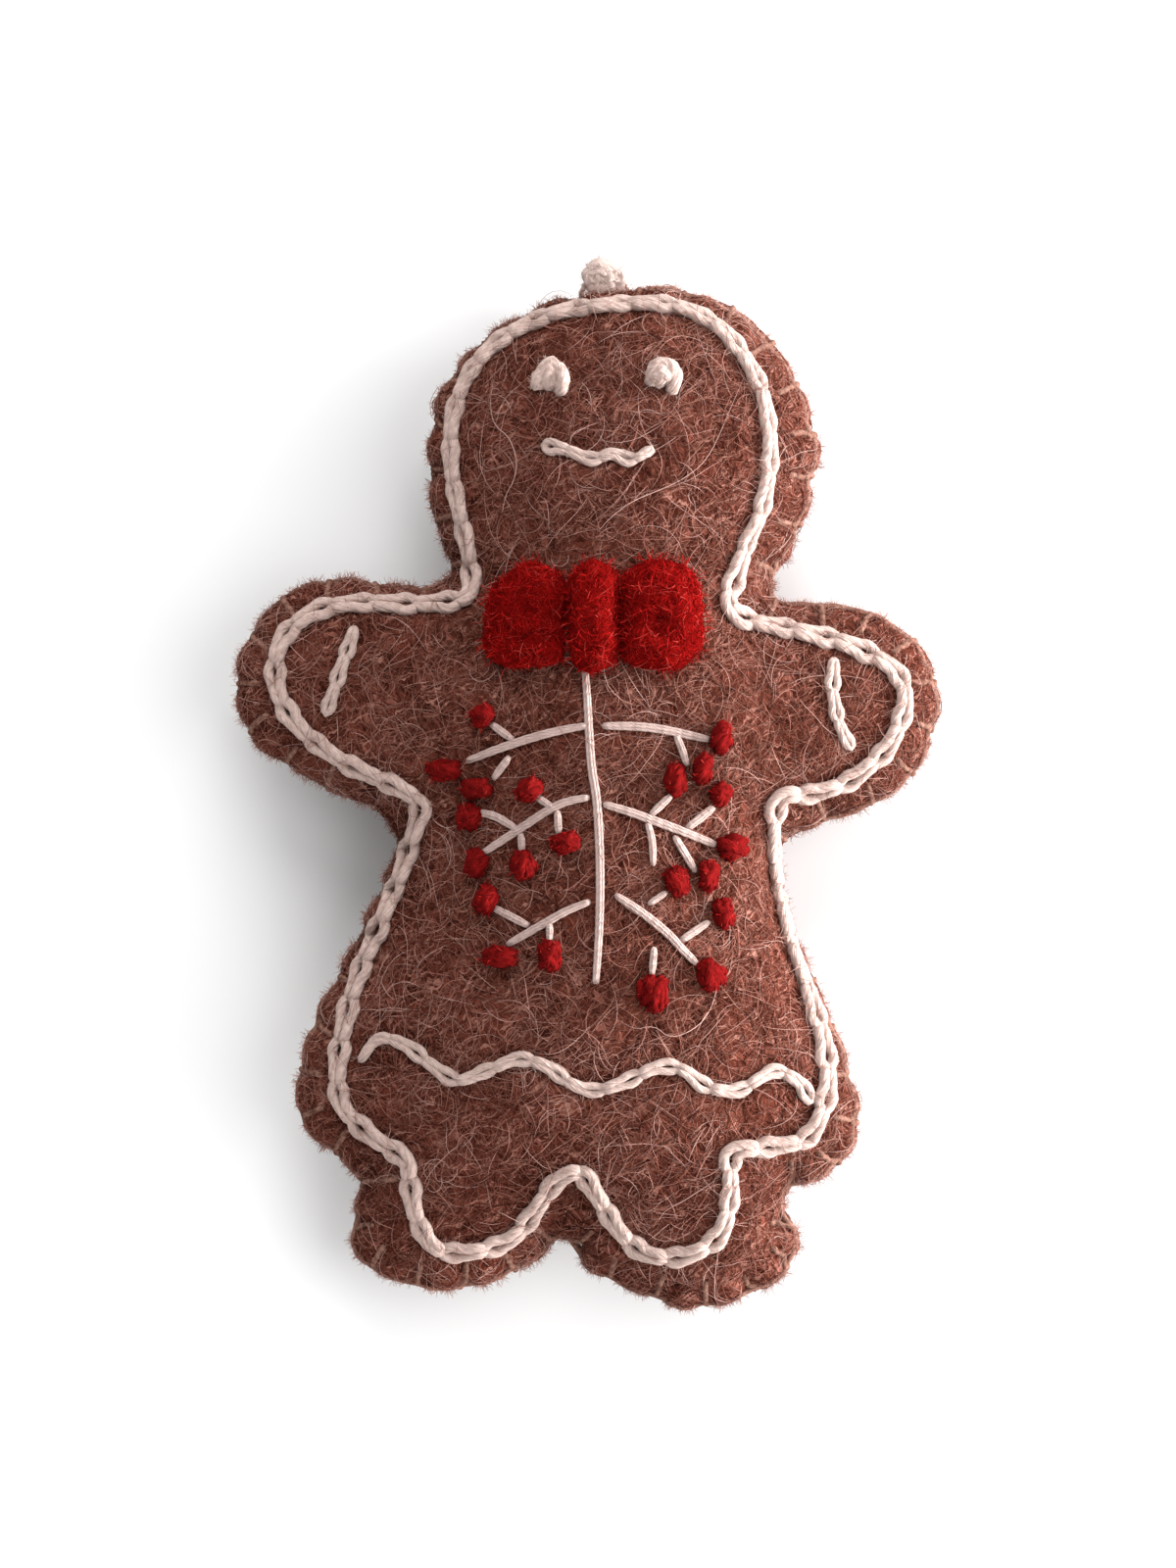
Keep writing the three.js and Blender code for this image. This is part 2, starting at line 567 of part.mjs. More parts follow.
function addBerry(place, radius) {
  const tilt = 0.5 * radius;
  const rise = (dx, dy) => feltTop(place.clone().add(new THREE.Vector3(dx, dy, 0)));
  const slopeX = (rise(tilt, 0) - rise(-tilt, 0)) / (2 * tilt);
  const slopeY = (rise(0, tilt) - rise(0, -tilt)) / (2 * tilt);
  const up = new THREE.Vector3(-slopeX, -slopeY, 1).normalize();
  const ball = new THREE.SphereGeometry(radius, 8, 6)
    .rotateX(Math.PI / 2)
    .scale(1, 1, BERRY_HEIGHT / (2 * radius));
  const berry = addPiece(`berry_${berries.length + 1}`, ball, COLOURS.berry);
  berry.quaternion.setFromUnitVectors(new THREE.Vector3(0, 0, 1), up);
  const lift = BERRY_HEIGHT / 2 + CLEARANCE;
  berry.position.copy(place).setZ(feltTop(place)).addScaledVector(up, lift);
  berries.push(berry);
}

// A straight or bowed stitch on the front, shortened at both ends
function stitch(name, curve, startGap, endGap, width) {
  const length = curve.getLength();
  const count = Math.max(2, Math.round((length - startGap - endGap) / LINE_STEP));
  const line = [];
  for (let i = 0; i <= count; i += 1) {
    const along = startGap + ((length - startGap - endGap) * i) / count;
    line.push(curve.getPointAt(along / length));
  }
  addPiece(name, laidThread(line, () => width, STITCH_HEIGHT), COLOURS.cream);
}

let twigCount = 0;
BRANCHES.forEach(({ height, side, bare, bow, berry, twigs }, i) => {
  const root = stemAt(onPattern([0, height]).y);
  root.x += side * (STEM_WIDTH / 2 + bare);
  const branch = new THREE.QuadraticBezierCurve3(root, onPattern(bow), onPattern(berry));
  stitch(`branch_${i + 1}`, branch, 0, BERRY_RADIUS + CLEARANCE, STEM_WIDTH);
  addBerry(onPattern(berry), BERRY_RADIUS);
  twigs.forEach((twig) => {
    const from = branch.getPointAt(twig.at);
    const to = onPattern(twig.berry ?? twig.points);
    const heading = to.clone().sub(from).normalize();
    const turn = branch.getTangentAt(twig.at).angleTo(heading);
    const branchSide = STEM_WIDTH / 2 + CLEARANCE + (TWIG_WIDTH / 2) * Math.abs(Math.cos(turn));
    const radius = twig.large ? LARGE_BERRY_RADIUS : BERRY_RADIUS;
    const startGap = branchSide / Math.sin(turn);
    twigCount += 1;
    stitch(`twig_${twigCount}`, new THREE.LineCurve3(from, to), startGap, radius + CLEARANCE, TWIG_WIDTH);
    if (twig.berry) {
      addBerry(to, radius);
    }
  });
});

// Hanger: a thread knot on the head's rim, whose shank behind it has an eye for the loop
function manifoldOf(geometry) {
  geometry.deleteAttribute('normal');
  geometry.deleteAttribute('uv');
  const weld = 1e-4;
  const merged = mergeVertices(geometry, weld);
  return new wasm.Manifold(new wasm.Mesh({
    numProp: 3,
    vertProperties: new Float32Array(merged.attributes.position.array),
    triVerts: new Uint32Array(merged.index.array),
  }));
}

function geometryOf(manifold) {
  const { vertProperties, triVerts } = manifold.getMesh();
  const geometry = new THREE.BufferGeometry();
  geometry.setAttribute('position', new THREE.BufferAttribute(vertProperties, 3));
  return geometry.setIndex(new THREE.BufferAttribute(triVerts, 1));
}

const eyeRadius = CORD / 2 + CLEARANCE;
const shankRadius = eyeRadius + EYE_WALL;
const hangerEye = new THREE.Vector3(hangerFoot.x, hangerFoot.y + CLEARANCE + shankRadius, SEAM - EYE_DROP);
const capHeight = SEAM + HANGER_DEPTH / 3;

function hangerKnot() {
  const cap = new THREE.SphereGeometry(1, 14, 9)
    .scale(HANGER_WIDTH / 2, HANGER_RISE / 2, HANGER_DEPTH / 2)
    .translate(hangerFoot.x, hangerFoot.y + CLEARANCE + HANGER_RISE / 2, capHeight);
  const shankLength = capHeight - hangerEye.z;
  const shank = new THREE.BoxGeometry(SHANK_WIDTH, 2 * shankRadius, shankLength)
    .translate(hangerEye.x, hangerEye.y, hangerEye.z + shankLength / 2);
  const round = new THREE.CylinderGeometry(shankRadius, shankRadius, SHANK_WIDTH, 16)
    .rotateZ(Math.PI / 2)
    .translate(hangerEye.x, hangerEye.y, hangerEye.z);
  const hole = new THREE.CylinderGeometry(eyeRadius, eyeRadius, 2 * HANGER_WIDTH, 12)
    .rotateZ(Math.PI / 2)
    .translate(hangerEye.x, hangerEye.y, hangerEye.z);
  return geometryOf(manifoldOf(cap).add(manifoldOf(shank)).add(manifoldOf(round)).subtract(manifoldOf(hole)));
}

addPiece('hanger_knot', hangerKnot(), COLOURS.cream);

// Hanging loop: one cord through the eye, with its two ends meeting in it, tucked under the head
function hangingLoop() {
  const lying = CORD / 2 + CORD_LIFT;
  const cordPlace = ([out, back, share], side) => {
    const height = THREE.MathUtils.lerp(lying, hangerEye.z, share);
    return new THREE.Vector3(hangerEye.x + side * out, hangerEye.y - back, height);
  };
  const leg = (side) => CORD_LEG.map((point) => cordPlace(point, side));
  const places = [...leg(1), cordPlace(CORD_END, 1), ...leg(-1).reverse()];
  const path = curveThrough(places, false);
  const section = new THREE.Shape(new THREE.EllipseCurve(0, 0, CORD / 2, CORD / 2).getPoints(8).slice(1));
  const steps = Math.round(path.getLength() / (2 * CORD));
  return new THREE.ExtrudeGeometry(section, { steps, extrudePath: path, bevelEnabled: false });
}

addPiece('hanging_loop', hangingLoop(), COLOURS.cream);

// The origin is under the middle of the ornament, at the height of the flat on its back
const bounds = new THREE.Box3();
ornament.children
  .filter((piece) => piece.name !== 'hanging_loop')
  .forEach((piece) => bounds.expandByObject(piece, true));
const middle = bounds.getCenter(new THREE.Vector3());
ornament.position.set(-middle.x, -middle.y, -bounds.min.z);
ornament.updateMatrixWorld(true);

export default ornament;
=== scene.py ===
import json
import math
import random

import bmesh
import bpy
import numpy as np
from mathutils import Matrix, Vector, noise
from mathutils.bvhtree import BVHTree
from mathutils.geometry import interpolate_bezier
from mathutils.kdtree import KDTree


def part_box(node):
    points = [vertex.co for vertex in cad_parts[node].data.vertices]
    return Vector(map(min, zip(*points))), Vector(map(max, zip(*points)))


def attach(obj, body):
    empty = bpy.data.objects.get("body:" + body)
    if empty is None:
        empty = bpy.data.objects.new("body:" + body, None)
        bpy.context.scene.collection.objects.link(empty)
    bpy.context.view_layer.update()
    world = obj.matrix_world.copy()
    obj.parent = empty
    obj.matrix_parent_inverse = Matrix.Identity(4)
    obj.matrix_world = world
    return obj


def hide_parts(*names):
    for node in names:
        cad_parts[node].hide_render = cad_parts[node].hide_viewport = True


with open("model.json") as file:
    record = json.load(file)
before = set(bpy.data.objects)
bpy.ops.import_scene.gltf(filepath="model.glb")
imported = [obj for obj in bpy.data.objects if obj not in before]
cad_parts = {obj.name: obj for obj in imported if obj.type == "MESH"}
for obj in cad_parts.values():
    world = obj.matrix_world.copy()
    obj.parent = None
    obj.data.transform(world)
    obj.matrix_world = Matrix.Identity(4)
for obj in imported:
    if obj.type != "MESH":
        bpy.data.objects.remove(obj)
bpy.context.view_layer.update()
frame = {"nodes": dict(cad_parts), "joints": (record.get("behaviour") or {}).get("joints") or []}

# Camera: straight above the ornament, which lies on its back with its head at the top of the picture. A long
# lens keeps the view as flat as the photograph, whose upright frame takes in 120 by 160 mm of the table.
MM = 0.001
hinge = Vector(frame["joints"][0]["pos_m"])
hanger_eye = Vector((1.8, 51.6, 0)) * MM  # on the figure's pattern
pattern_middle = Vector((hinge.x - hanger_eye.x, hinge.y - hanger_eye.y, 0))
seam = (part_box("front_panel")[0].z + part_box("back_panel")[1].z) / 2
view_height = 160 * MM
camera_data = bpy.data.cameras.new("camera")
camera_data.lens = 500
camera_data.sensor_width = 36
camera_data.clip_start = 10 * MM
camera = bpy.data.objects.new("camera", camera_data)
camera_distance = view_height * camera_data.lens / camera_data.sensor_width
camera.location = pattern_middle + Vector((0, 0, seam + camera_distance))
bpy.context.scene.collection.objects.link(camera)
bpy.context.scene.camera = camera

# Hanging loop: one length of limp cream cord, twisted from two plies of cotton. Both its ends meet in the
# eye of the hanger's knot, and the loop lies tucked under the head until it is swung out to hang the
# ornament.
LOOP_CORD = 0.8 * MM
LOOP_LYING = 0.45 * MM
# Out from the hanger's middle, back from the eye, and height as a share of the eye's
LOOP_LEG = [
    (0.25, 0, 1), (0.9, 0, 1), (1.9, 0.4, 0.92), (2.4, 1.3, 0.73), (2.5, 3, 0.41), (2.9, 5, 0.15),
    (3.5, 7.6, 0.02), (4.4, 11.4, 0), (5.1, 15.1, 0), (5.2, 18.4, 0), (4.3, 21.7, 0), (2.4, 23.5, 0),
]
LOOP_END = (0, 24.1, 0)


def smooth_line(places, step, closed=False):
    """Points about one step apart on a smooth curve through places."""
    count = len(places)
    curve = []
    for i in range(count if closed else count - 1):
        near = [i - 1, i, i + 1, i + 2]
        near = [k % count if closed else min(max(k, 0), count - 1) for k in near]
        before, start, end, after = (places[k] for k in near)
        leave = start + (end - before) / 6
        arrive = end - (after - start) / 6
        curve += interpolate_bezier(start, leave, arrive, end, 16)[:-1]
    curve.append(places[0] if closed else places[-1])
    points = np.array([tuple(point) for point in curve])
    along = np.concatenate(([0], np.cumsum(np.linalg.norm(np.diff(points, axis=0), axis=1))))
    even = np.linspace(0, along[-1], max(2, round(along[-1] / step)) + 1)
    line = np.column_stack([np.interp(even, along, points[:, axis]) for axis in range(3)])
    return [Vector(point) for point in (line[:-1] if closed else line)]


def mesh_object(name, curve):
    """A curve made a mesh, as an object of that name."""
    source = bpy.data.objects.new(name + "_line", curve)
    bpy.context.scene.collection.objects.link(source)
    mesh = bpy.data.meshes.new_from_object(source.evaluated_get(bpy.context.evaluated_depsgraph_get()))
    bpy.data.objects.remove(source)
    mesh.name = name
    piece = bpy.data.objects.new(name, mesh)
    bpy.context.scene.collection.objects.link(piece)
    return piece


def swept_curve(name, width, plies, groove, sides):
    """An empty curve whose splines get a section with so many sides and a lobe for each ply."""
    section = bpy.data.curves.new(name + "_section", "CURVE")
    ring = section.splines.new("POLY")
    ring.points.add(sides - 1)
    for i, point in enumerate(ring.points):
        angle = -2 * math.pi * i / sides
        reach = width / 2 * (1 - groove * (0.5 - 0.5 * math.cos(plies * angle)))
        point.co = (reach * math.cos(angle), reach * math.sin(angle), 0, 1)
    ring.use_cyclic_u = True
    curve = bpy.data.curves.new(name, "CURVE")
    curve.dimensions = "3D"
    curve.bevel_mode = "OBJECT"
    curve.bevel_object = bpy.data.objects.new(name + "_section", section)
    return curve


def twisted_yarn(name, lines, width, plies, lay, groove):
    """Yarn laid along each line: its section has a lobe for each ply and turns once in every lay."""
    yarn = swept_curve(name, width, plies, groove, 4 * plies)
    yarn.use_fill_caps = True
    for line in lines:
        spline = yarn.splines.new("POLY")
        spline.points.add(len(line) - 1)
        turned = 0
        for point, place, before in zip(spline.points, line, [line[0], *line]):
            turned += 2 * math.pi * (place - before).length / lay
            point.co = (*place, 1)
            point.tilt = turned
    piece = mesh_object(name, yarn)
    piece.data.uv_layers[0].name = "strands"
    shape = bmesh.new()
    shape.from_mesh(piece.data)
    bmesh.ops.remove_doubles(shape, verts=shape.verts, dist=0.001 * MM)
    shape.to_mesh(piece.data)
    shape.free()
    return piece


def new_finish(name, roughness, gloss):
    """A finish without a pattern yet, with its nodes, their links and its shader."""
    material = bpy.data.materials.new(name)
    material.use_nodes = True
    shader = material.node_tree.nodes["Principled BSDF"]
    shader.inputs["Roughness"].default_value = roughness
    shader.inputs["Specular IOR Level"].default_value = gloss
    return material, material.node_tree.nodes, material.node_tree.links, shader


def noise_node(nodes, size, detail, roughness=0.5):
    """Noise whose largest blobs have a size."""
    pattern = nodes.new("ShaderNodeTexNoise")
    pattern.inputs["Scale"].default_value = 1 / size
    pattern.inputs["Detail"].default_value = detail
    pattern.inputs["Roughness"].default_value = roughness
    return pattern


def tone_ramp(nodes, stops):
    """A ramp through tones at their places from 0 to 1."""
    ramp = nodes.new("ShaderNodeValToRGB")
    elements = ramp.color_ramp.elements
    while len(elements) < len(stops):
        elements.new(0.5)
    for element, (place, tone) in zip(elements, stops):
        element.position = place
        element.color = (*tone, 1)
    return ramp


def thread_finish(name, shade, lit, grain, roughness, sheen, strands=None):
    """Finish of spun thread: a shaded and a lit tone of its colour, as painted shade and light, mottled at
    the grain's size, with its strands or fibres as a bump; on strands the bump's ridges take the lit tone and
    its grooves the shaded one.
    """
    material, nodes, links, shader = new_finish(name, roughness, 0.03)
    shader.inputs["Sheen Weight"].default_value = sheen
    place = nodes.new("ShaderNodeTexCoord")
    mottle = noise_node(nodes, grain, 3)
    # painted shade and light: the ramp runs from the thread's shaded tone to its lit tone
    tones = tone_ramp(nodes, [(0.32, shade), (0.62, lit)])
    fibre = noise_node(nodes, 1 if strands else grain / 6, 2)
    bump = nodes.new("ShaderNodeBump")
    bump.inputs["Strength"].default_value = 0.8
    bump.inputs["Distance"].default_value = 0.2 * MM
    links.new(place.outputs["Object"], mottle.inputs["Vector"])
    if strands:
        own_map = nodes.new("ShaderNodeUVMap")
        own_map.uv_map = "strands"
        bump.inputs["Distance"].default_value = 0.28 * MM
        apart = nodes.new("ShaderNodeVectorMath")
        apart.operation = "SCALE"
        apart.inputs["Scale"].default_value = 0.15 / MM
        laid = nodes.new("ShaderNodeVectorMath")
        laid.operation = "MULTIPLY_ADD"
        laid.inputs[1].default_value = (*strands, 1)
        both = nodes.new("ShaderNodeMix")
        both.inputs["Factor"].default_value = 0.55
        links.new(place.outputs["Object"], apart.inputs[0])
        links.new(own_map.outputs["UV"], laid.inputs[0])
        links.new(apart.outputs["Vector"], laid.inputs[2])
        links.new(laid.outputs["Vector"], fibre.inputs["Vector"])
        # the strands' bump noise also sets the tone: painted light on the ridges, painted shade in the
        # grooves
        links.new(mottle.outputs["Fac"], both.inputs[2])
        links.new(fibre.outputs["Fac"], both.inputs[3])
        links.new(both.outputs[0], tones.inputs["Fac"])
    else:
        links.new(place.outputs["Object"], fibre.inputs["Vector"])
        links.new(mottle.outputs["Fac"], tones.inputs["Fac"])
    links.new(tones.outputs["Color"], shader.inputs["Base Color"])
    links.new(fibre.outputs["Fac"], bump.inputs["Height"])
    links.new(bump.outputs["Normal"], shader.inputs["Normal"])
    return material


def loop_place(out, back, share, side):
    """A point of the loop, on one side of the hanger."""
    height = LOOP_LYING + (hinge.z - LOOP_LYING) * share
    return Vector((hinge.x + side * out * MM, hinge.y - back * MM, height))


loop_places = [loop_place(*place, 1) for place in [*LOOP_LEG, LOOP_END]]
loop_places += [loop_place(*place, -1) for place in reversed(LOOP_LEG)]
loop_line = smooth_line(loop_places, 0.35 * MM)
hanging_loop = twisted_yarn("hanging_loop_cord", [loop_line], LOOP_CORD, plies=2, lay=3 * MM, groove=0.3)
# its shade and lit tones are painted shade and light on the cream cord
cord_finish = thread_finish("cream_cord", (0.62, 0.48, 0.42), (0.8, 0.68, 0.6), 0.6 * MM, 0.85, 0.2)
hanging_loop.data.materials.append(cord_finish)
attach(hanging_loop, "hanging_loop")
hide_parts("hanging_loop")

# Stuffing: loose wool, teased into a soft batt and pushed between the two panels until the figure is plump.
# It is sealed inside and keeps the panels apart.
STUFFING_VOXEL = 1.4 * MM


def apply_modifiers(piece):
    """Puts what a piece's modifiers make into its own mesh."""
    depsgraph = bpy.context.evaluated_depsgraph_get()
    mesh = bpy.data.meshes.new_from_object(piece.evaluated_get(depsgraph))
    mesh.name = piece.name
    piece.modifiers.clear()
    piece.data = mesh


def skin_of(name, nodes, voxel, scale=1):
    """One closed skin round the solids of some nodes, in even quads."""
    shape = bmesh.new()
    for node in nodes:
        shape.from_mesh(frame["nodes"][node].data)
    bmesh.ops.remove_doubles(shape, verts=shape.verts, dist=0.001 * MM)
    bmesh.ops.scale(shape, vec=(scale, scale, scale), verts=shape.verts)
    mesh = bpy.data.meshes.new(name)
    shape.to_mesh(mesh)
    shape.free()
    piece = bpy.data.objects.new(name, mesh)
    bpy.context.scene.collection.objects.link(piece)
    remesh = piece.modifiers.new("skin", "REMESH")
    remesh.mode = "VOXEL"
    remesh.voxel_size = voxel * scale
    apply_modifiers(piece)
    return piece


def corners_of(mesh):
    """A mesh's corners as rows of numbers."""
    rows = np.empty(3 * len(mesh.vertices))
    mesh.vertices.foreach_get("co", rows)
    return rows.reshape(-1, 3)


stuffing = skin_of("stuffing_wool", ["stuffing"], STUFFING_VOXEL)
soften = stuffing.modifiers.new("soften", "SMOOTH")
soften.iterations = 4
apply_modifiers(stuffing)
# its shade and lit tones are painted shade and light on the wool
wool_finish = thread_finish("stuffing_wool", (0.5, 0.44, 0.37), (0.74, 0.68, 0.6), 1.5 * MM, 1, 0.3)
stuffing.data.materials.append(wool_finish)
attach(stuffing, "ornament")
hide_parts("stuffing")

# Felt panels: the figure cut twice from brown wool felt. The front is embroidered, then both are sewn
# together round their rims and stuffed, which blows them up between the rim's stitches. The blown shape is
# a cloth run, drawn in afterwards where the stitches and the embroidery pull it.
FELT = 1.8 * MM
FELT_VOXEL = 1.1 * MM
BAG_SCALE = 10  # the cloth run works on a larger copy, because its solver is made for larger things
BAG_PRESSURE = 50
BAG_FRAMES = 20
BAG_CAP = 1.2 * MM  # the furthest that the cloth run may move the felt
RIM_BAND = 2.7 * MM  # held still in the cloth run, on each side of the seam
STITCH_PITCH = 5 * MM
HANGER_MARGIN = 3.4 * MM  # bare rim on each side of the hanger
PINCH = 0.62 * MM  # how far a stitch draws the rim in, and how far from the rim that shows
PINCH_REACH = 2.4 * MM
RIM_SWELL = 0.25 * MM  # how far the rim swells past the pattern, and its ragged edge's depth and size
RAGGED_DEPTH = 0.45 * MM
RAGGED_SIZE = 2.8 * MM
EDGE_GROOVE = 0.5 * MM  # depth of the groove between the two cut edges
THREAD_DIP = 0.35 * MM  # how far the embroidery sinks the front, and how wide
THREAD_REACH = 1.3 * MM
BACK_REACH = 0.5 * MM  # how far the back shows past the front on the right
# Lines of the embroidery on the pattern, in millimetres
OUTLINE_CHAIN = [
    (0, 48.6), (6, 49), (9.5, 48.5), (13, 46.8), (15.6, 44), (17.7, 40), (18.6, 34), (17.7, 28), (16.1, 24.2),
    (14.8, 20.5), (14.3, 18.4), (16, 16.8), (20, 15.9), (24, 15), (28, 13.6), (31.5, 11.2), (32.2, 8),
    (30.7, 4), (28, 1.3), (25.6, -0.2), (22.4, -1.1), (20, -1.2), (19.1, -2.8), (19, -6), (19.3, -10),
    (20.7, -16), (22.6, -21.5), (24.2, -27), (24.2, -32), (22.3, -36), (18, -37), (14.7, -37.6),
    (14.5, -42), (13.2, -46), (10, -48), (6, -47.8), (3.2, -45.5), (1, -42), (-1, -39.5), (-3.5, -40.8),
    (-5.5, -43.5), (-7.8, -46.3), (-12, -47.7), (-15.5, -47.2), (-17.5, -44), (-18.2, -40), (-18.6, -38.2),
    (-22, -35.8), (-24.8, -33), (-25.5, -29.5), (-24.8, -24.5), (-23.4, -19.5), (-21.3, -14.5),
    (-19.2, -9.5), (-17.6, -4.5), (-17.2, -2), (-19.5, -0.3), (-24.5, 2), (-28.8, 5.2), (-31.6, 9.5),
    (-31.4, 14), (-28.8, 17), (-24.5, 18.4), (-18, 18.3), (-13.2, 18.7), (-11.9, 20), (-12.2, 23.5),
    (-13.2, 28), (-14, 33), (-13.6, 38), (-12, 42), (-9, 45.2), (-4.8, 47.5),
]
MOUTH = [(-4.4, 34.35), (-2.6, 34.1), (0.3, 33), (2.4, 33.6), (4.4, 33), (6.4, 34)]
LEFT_CUFF = [(-23.8, 15.8), (-25.2, 11.5), (-26.6, 7.4)]
RIGHT_CUFF = [(25, 12.6), (24.9, 9.2), (25.6, 6), (26.7, 3.9)]
HEM = [
    (-23.1, -28.1), (-21.2, -25.9), (-18.4, -26.6), (-16, -28.5), (-13.2, -30.1), (-10, -29), (-7, -27.9),
    (-4, -28.8), (-1.6, -30.5), (0.8, -31.1), (3.6, -30.3), (7, -28.8), (9.6, -29), (12, -30.7), (15, -31.2),
    (17.4, -30), (19.2, -29.2), (21.6, -30.4), (22.5, -32.1),
]


def on_pattern(x, y):
    """A place on the pattern, in the frame's metres."""
    return pattern_middle + Vector((x, y, 0)) * MM


def rim_of(node):
    """Corners of a panel's cut edge, in order: the longest loop along the foot of its upright faces."""
    shape = bmesh.new()
    shape.from_mesh(frame["nodes"][node].data)
    bmesh.ops.remove_doubles(shape, verts=shape.verts, dist=0.001 * MM)
    shape.normal_update()
    low = min(corner.co.z for corner in shape.verts)
    upright = [face for face in shape.faces if abs(face.normal.z) < 0.05]
    foot = [
        edge for face in upright for edge in face.edges
        if all(corner.co.z < low + 0.01 * MM for corner in edge.verts)
    ]
    left = dict.fromkeys(foot)
    rims = []
    while left:
        edge = next(iter(left))
        corner = edge.verts[0]
        rim = []
        while edge:
            left.pop(edge)
            rim.append(Vector((corner.co.x, corner.co.y, 0)))
            corner = edge.other_vert(corner)
            edge = next((other for other in corner.link_edges if other in left), None)
        rims.append(rim)
    shape.free()
    return max(rims, key=lambda rim: max(corner.x for corner in rim))


def tree_of(points):
    """A lookup of the nearest of some points."""
    tree = KDTree(len(points))
    for i, point in enumerate(points):
        tree.insert(point, i)
    tree.balance()
    return tree


rim_corners = rim_of("front_panel")
if sum(here.cross(ahead).z for here, ahead in zip(rim_corners, rim_corners[1:] + rim_corners[:1])) < 0:
    rim_corners.reverse()
first = min(range(len(rim_corners)), key=lambda i: (rim_corners[i] - hinge.xy.to_3d()).length)
RIM_STEP = 0.2 * MM
rim_line = smooth_line(rim_corners[first:] + rim_corners[:first], RIM_STEP, closed=True)
rim_length = RIM_STEP * len(rim_line)
stitch_count = math.floor((rim_length - 2 * HANGER_MARGIN) / STITCH_PITCH)
stitch_pitch = (rim_length - 2 * HANGER_MARGIN) / stitch_count
rim_tree = tree_of(rim_line)


def rim_outwards(i):
    """Outwards from the rim at one of its points."""
    reach = 6
    along = rim_line[(i + reach) % len(rim_line)] - rim_line[i - reach]
    return Vector((along.y, -along.x, 0)).normalized()


# How hard each stitch is drawn: loosely along the tops of the arms, and tightly round the skirt
pull_chance = random.Random(5)
stitch_pull = []
for k in range(stitch_count + 2):
    i = round((HANGER_MARGIN + k * stitch_pitch) / RIM_STEP) % len(rim_line)
    from_middle = (rim_line[i] - pattern_middle) / MM
    on_arm_top = abs(from_middle.x) > 13 and rim_outwards(i).y > 0.6
    on_skirt = abs(from_middle.x) > 10 and from_middle.y < -15
    share = 0.3 if on_arm_top else 1.3 if on_skirt else 1
    stitch_pull.append(pull_chance.uniform(0.3, 1.2) * share)

# The bag of both panels, blown up from within
felt_bag = skin_of("felt_bag", ["front_panel", "stuffing", "back_panel"], FELT_VOXEL, BAG_SCALE)
bag_start = corners_of(felt_bag.data)
at_rim = np.abs(bag_start[:, 2] - seam * BAG_SCALE) < RIM_BAND * BAG_SCALE
dome = felt_bag.vertex_groups.new(name="dome")
dome.add([int(i) for i in np.nonzero(~at_rim)[0]], 1, "REPLACE")
rim_pins = felt_bag.vertex_groups.new(name="rim")
rim_pins.add([int(i) for i in np.nonzero(at_rim)[0]], 1, "REPLACE")
round_off = felt_bag.modifiers.new("round_off", "SMOOTH")
round_off.iterations = 8
round_off.vertex_group = "dome"
apply_modifiers(felt_bag)
bag_start = corners_of(felt_bag.data)
bag = bag_start
blow = felt_bag.modifiers.new("blow", "CLOTH")
blow.settings.use_pressure = True
blow.settings.uniform_pressure_force = BAG_PRESSURE
blow.settings.vertex_group_mass = "rim"
blow.settings.effector_weights.gravity = 0
for step in range(1, BAG_FRAMES + 1):
    bpy.context.scene.frame_set(step)
apply_modifiers(felt_bag)
bag = corners_of(felt_bag.data)
moved = bag - bag_start
far = np.linalg.norm(moved, axis=1, keepdims=True)
bag = bag_start + moved * np.minimum(1, BAG_CAP * BAG_SCALE / np.maximum(far, 1e-9))
bag = bag / BAG_SCALE
bag[:, 2] = np.maximum(bag[:, 2], 0)
felt_bag.data.vertices.foreach_set("co", bag.ravel())
finer = felt_bag.modifiers.new("finer", "SUBSURF")
finer.levels = finer.render_levels = 1
apply_modifiers(felt_bag)

# Where threads draw the front in, as points every half millimetre
chain_lines = {
    "outline": smooth_line([on_pattern(*place) for place in OUTLINE_CHAIN], 0.5 * MM, closed=True),
    "mouth": smooth_line([on_pattern(*place) for place in MOUTH], 0.5 * MM),
    "left_cuff": smooth_line([on_pattern(*place) for place in LEFT_CUFF], 0.5 * MM),
    "right_cuff": smooth_line([on_pattern(*place) for place in RIGHT_CUFF], 0.5 * MM),
    "hem": smooth_line([on_pattern(*place) for place in HEM], 0.5 * MM),
}
drawn_in = tree_of([point for line in chain_lines.values() for point in line])


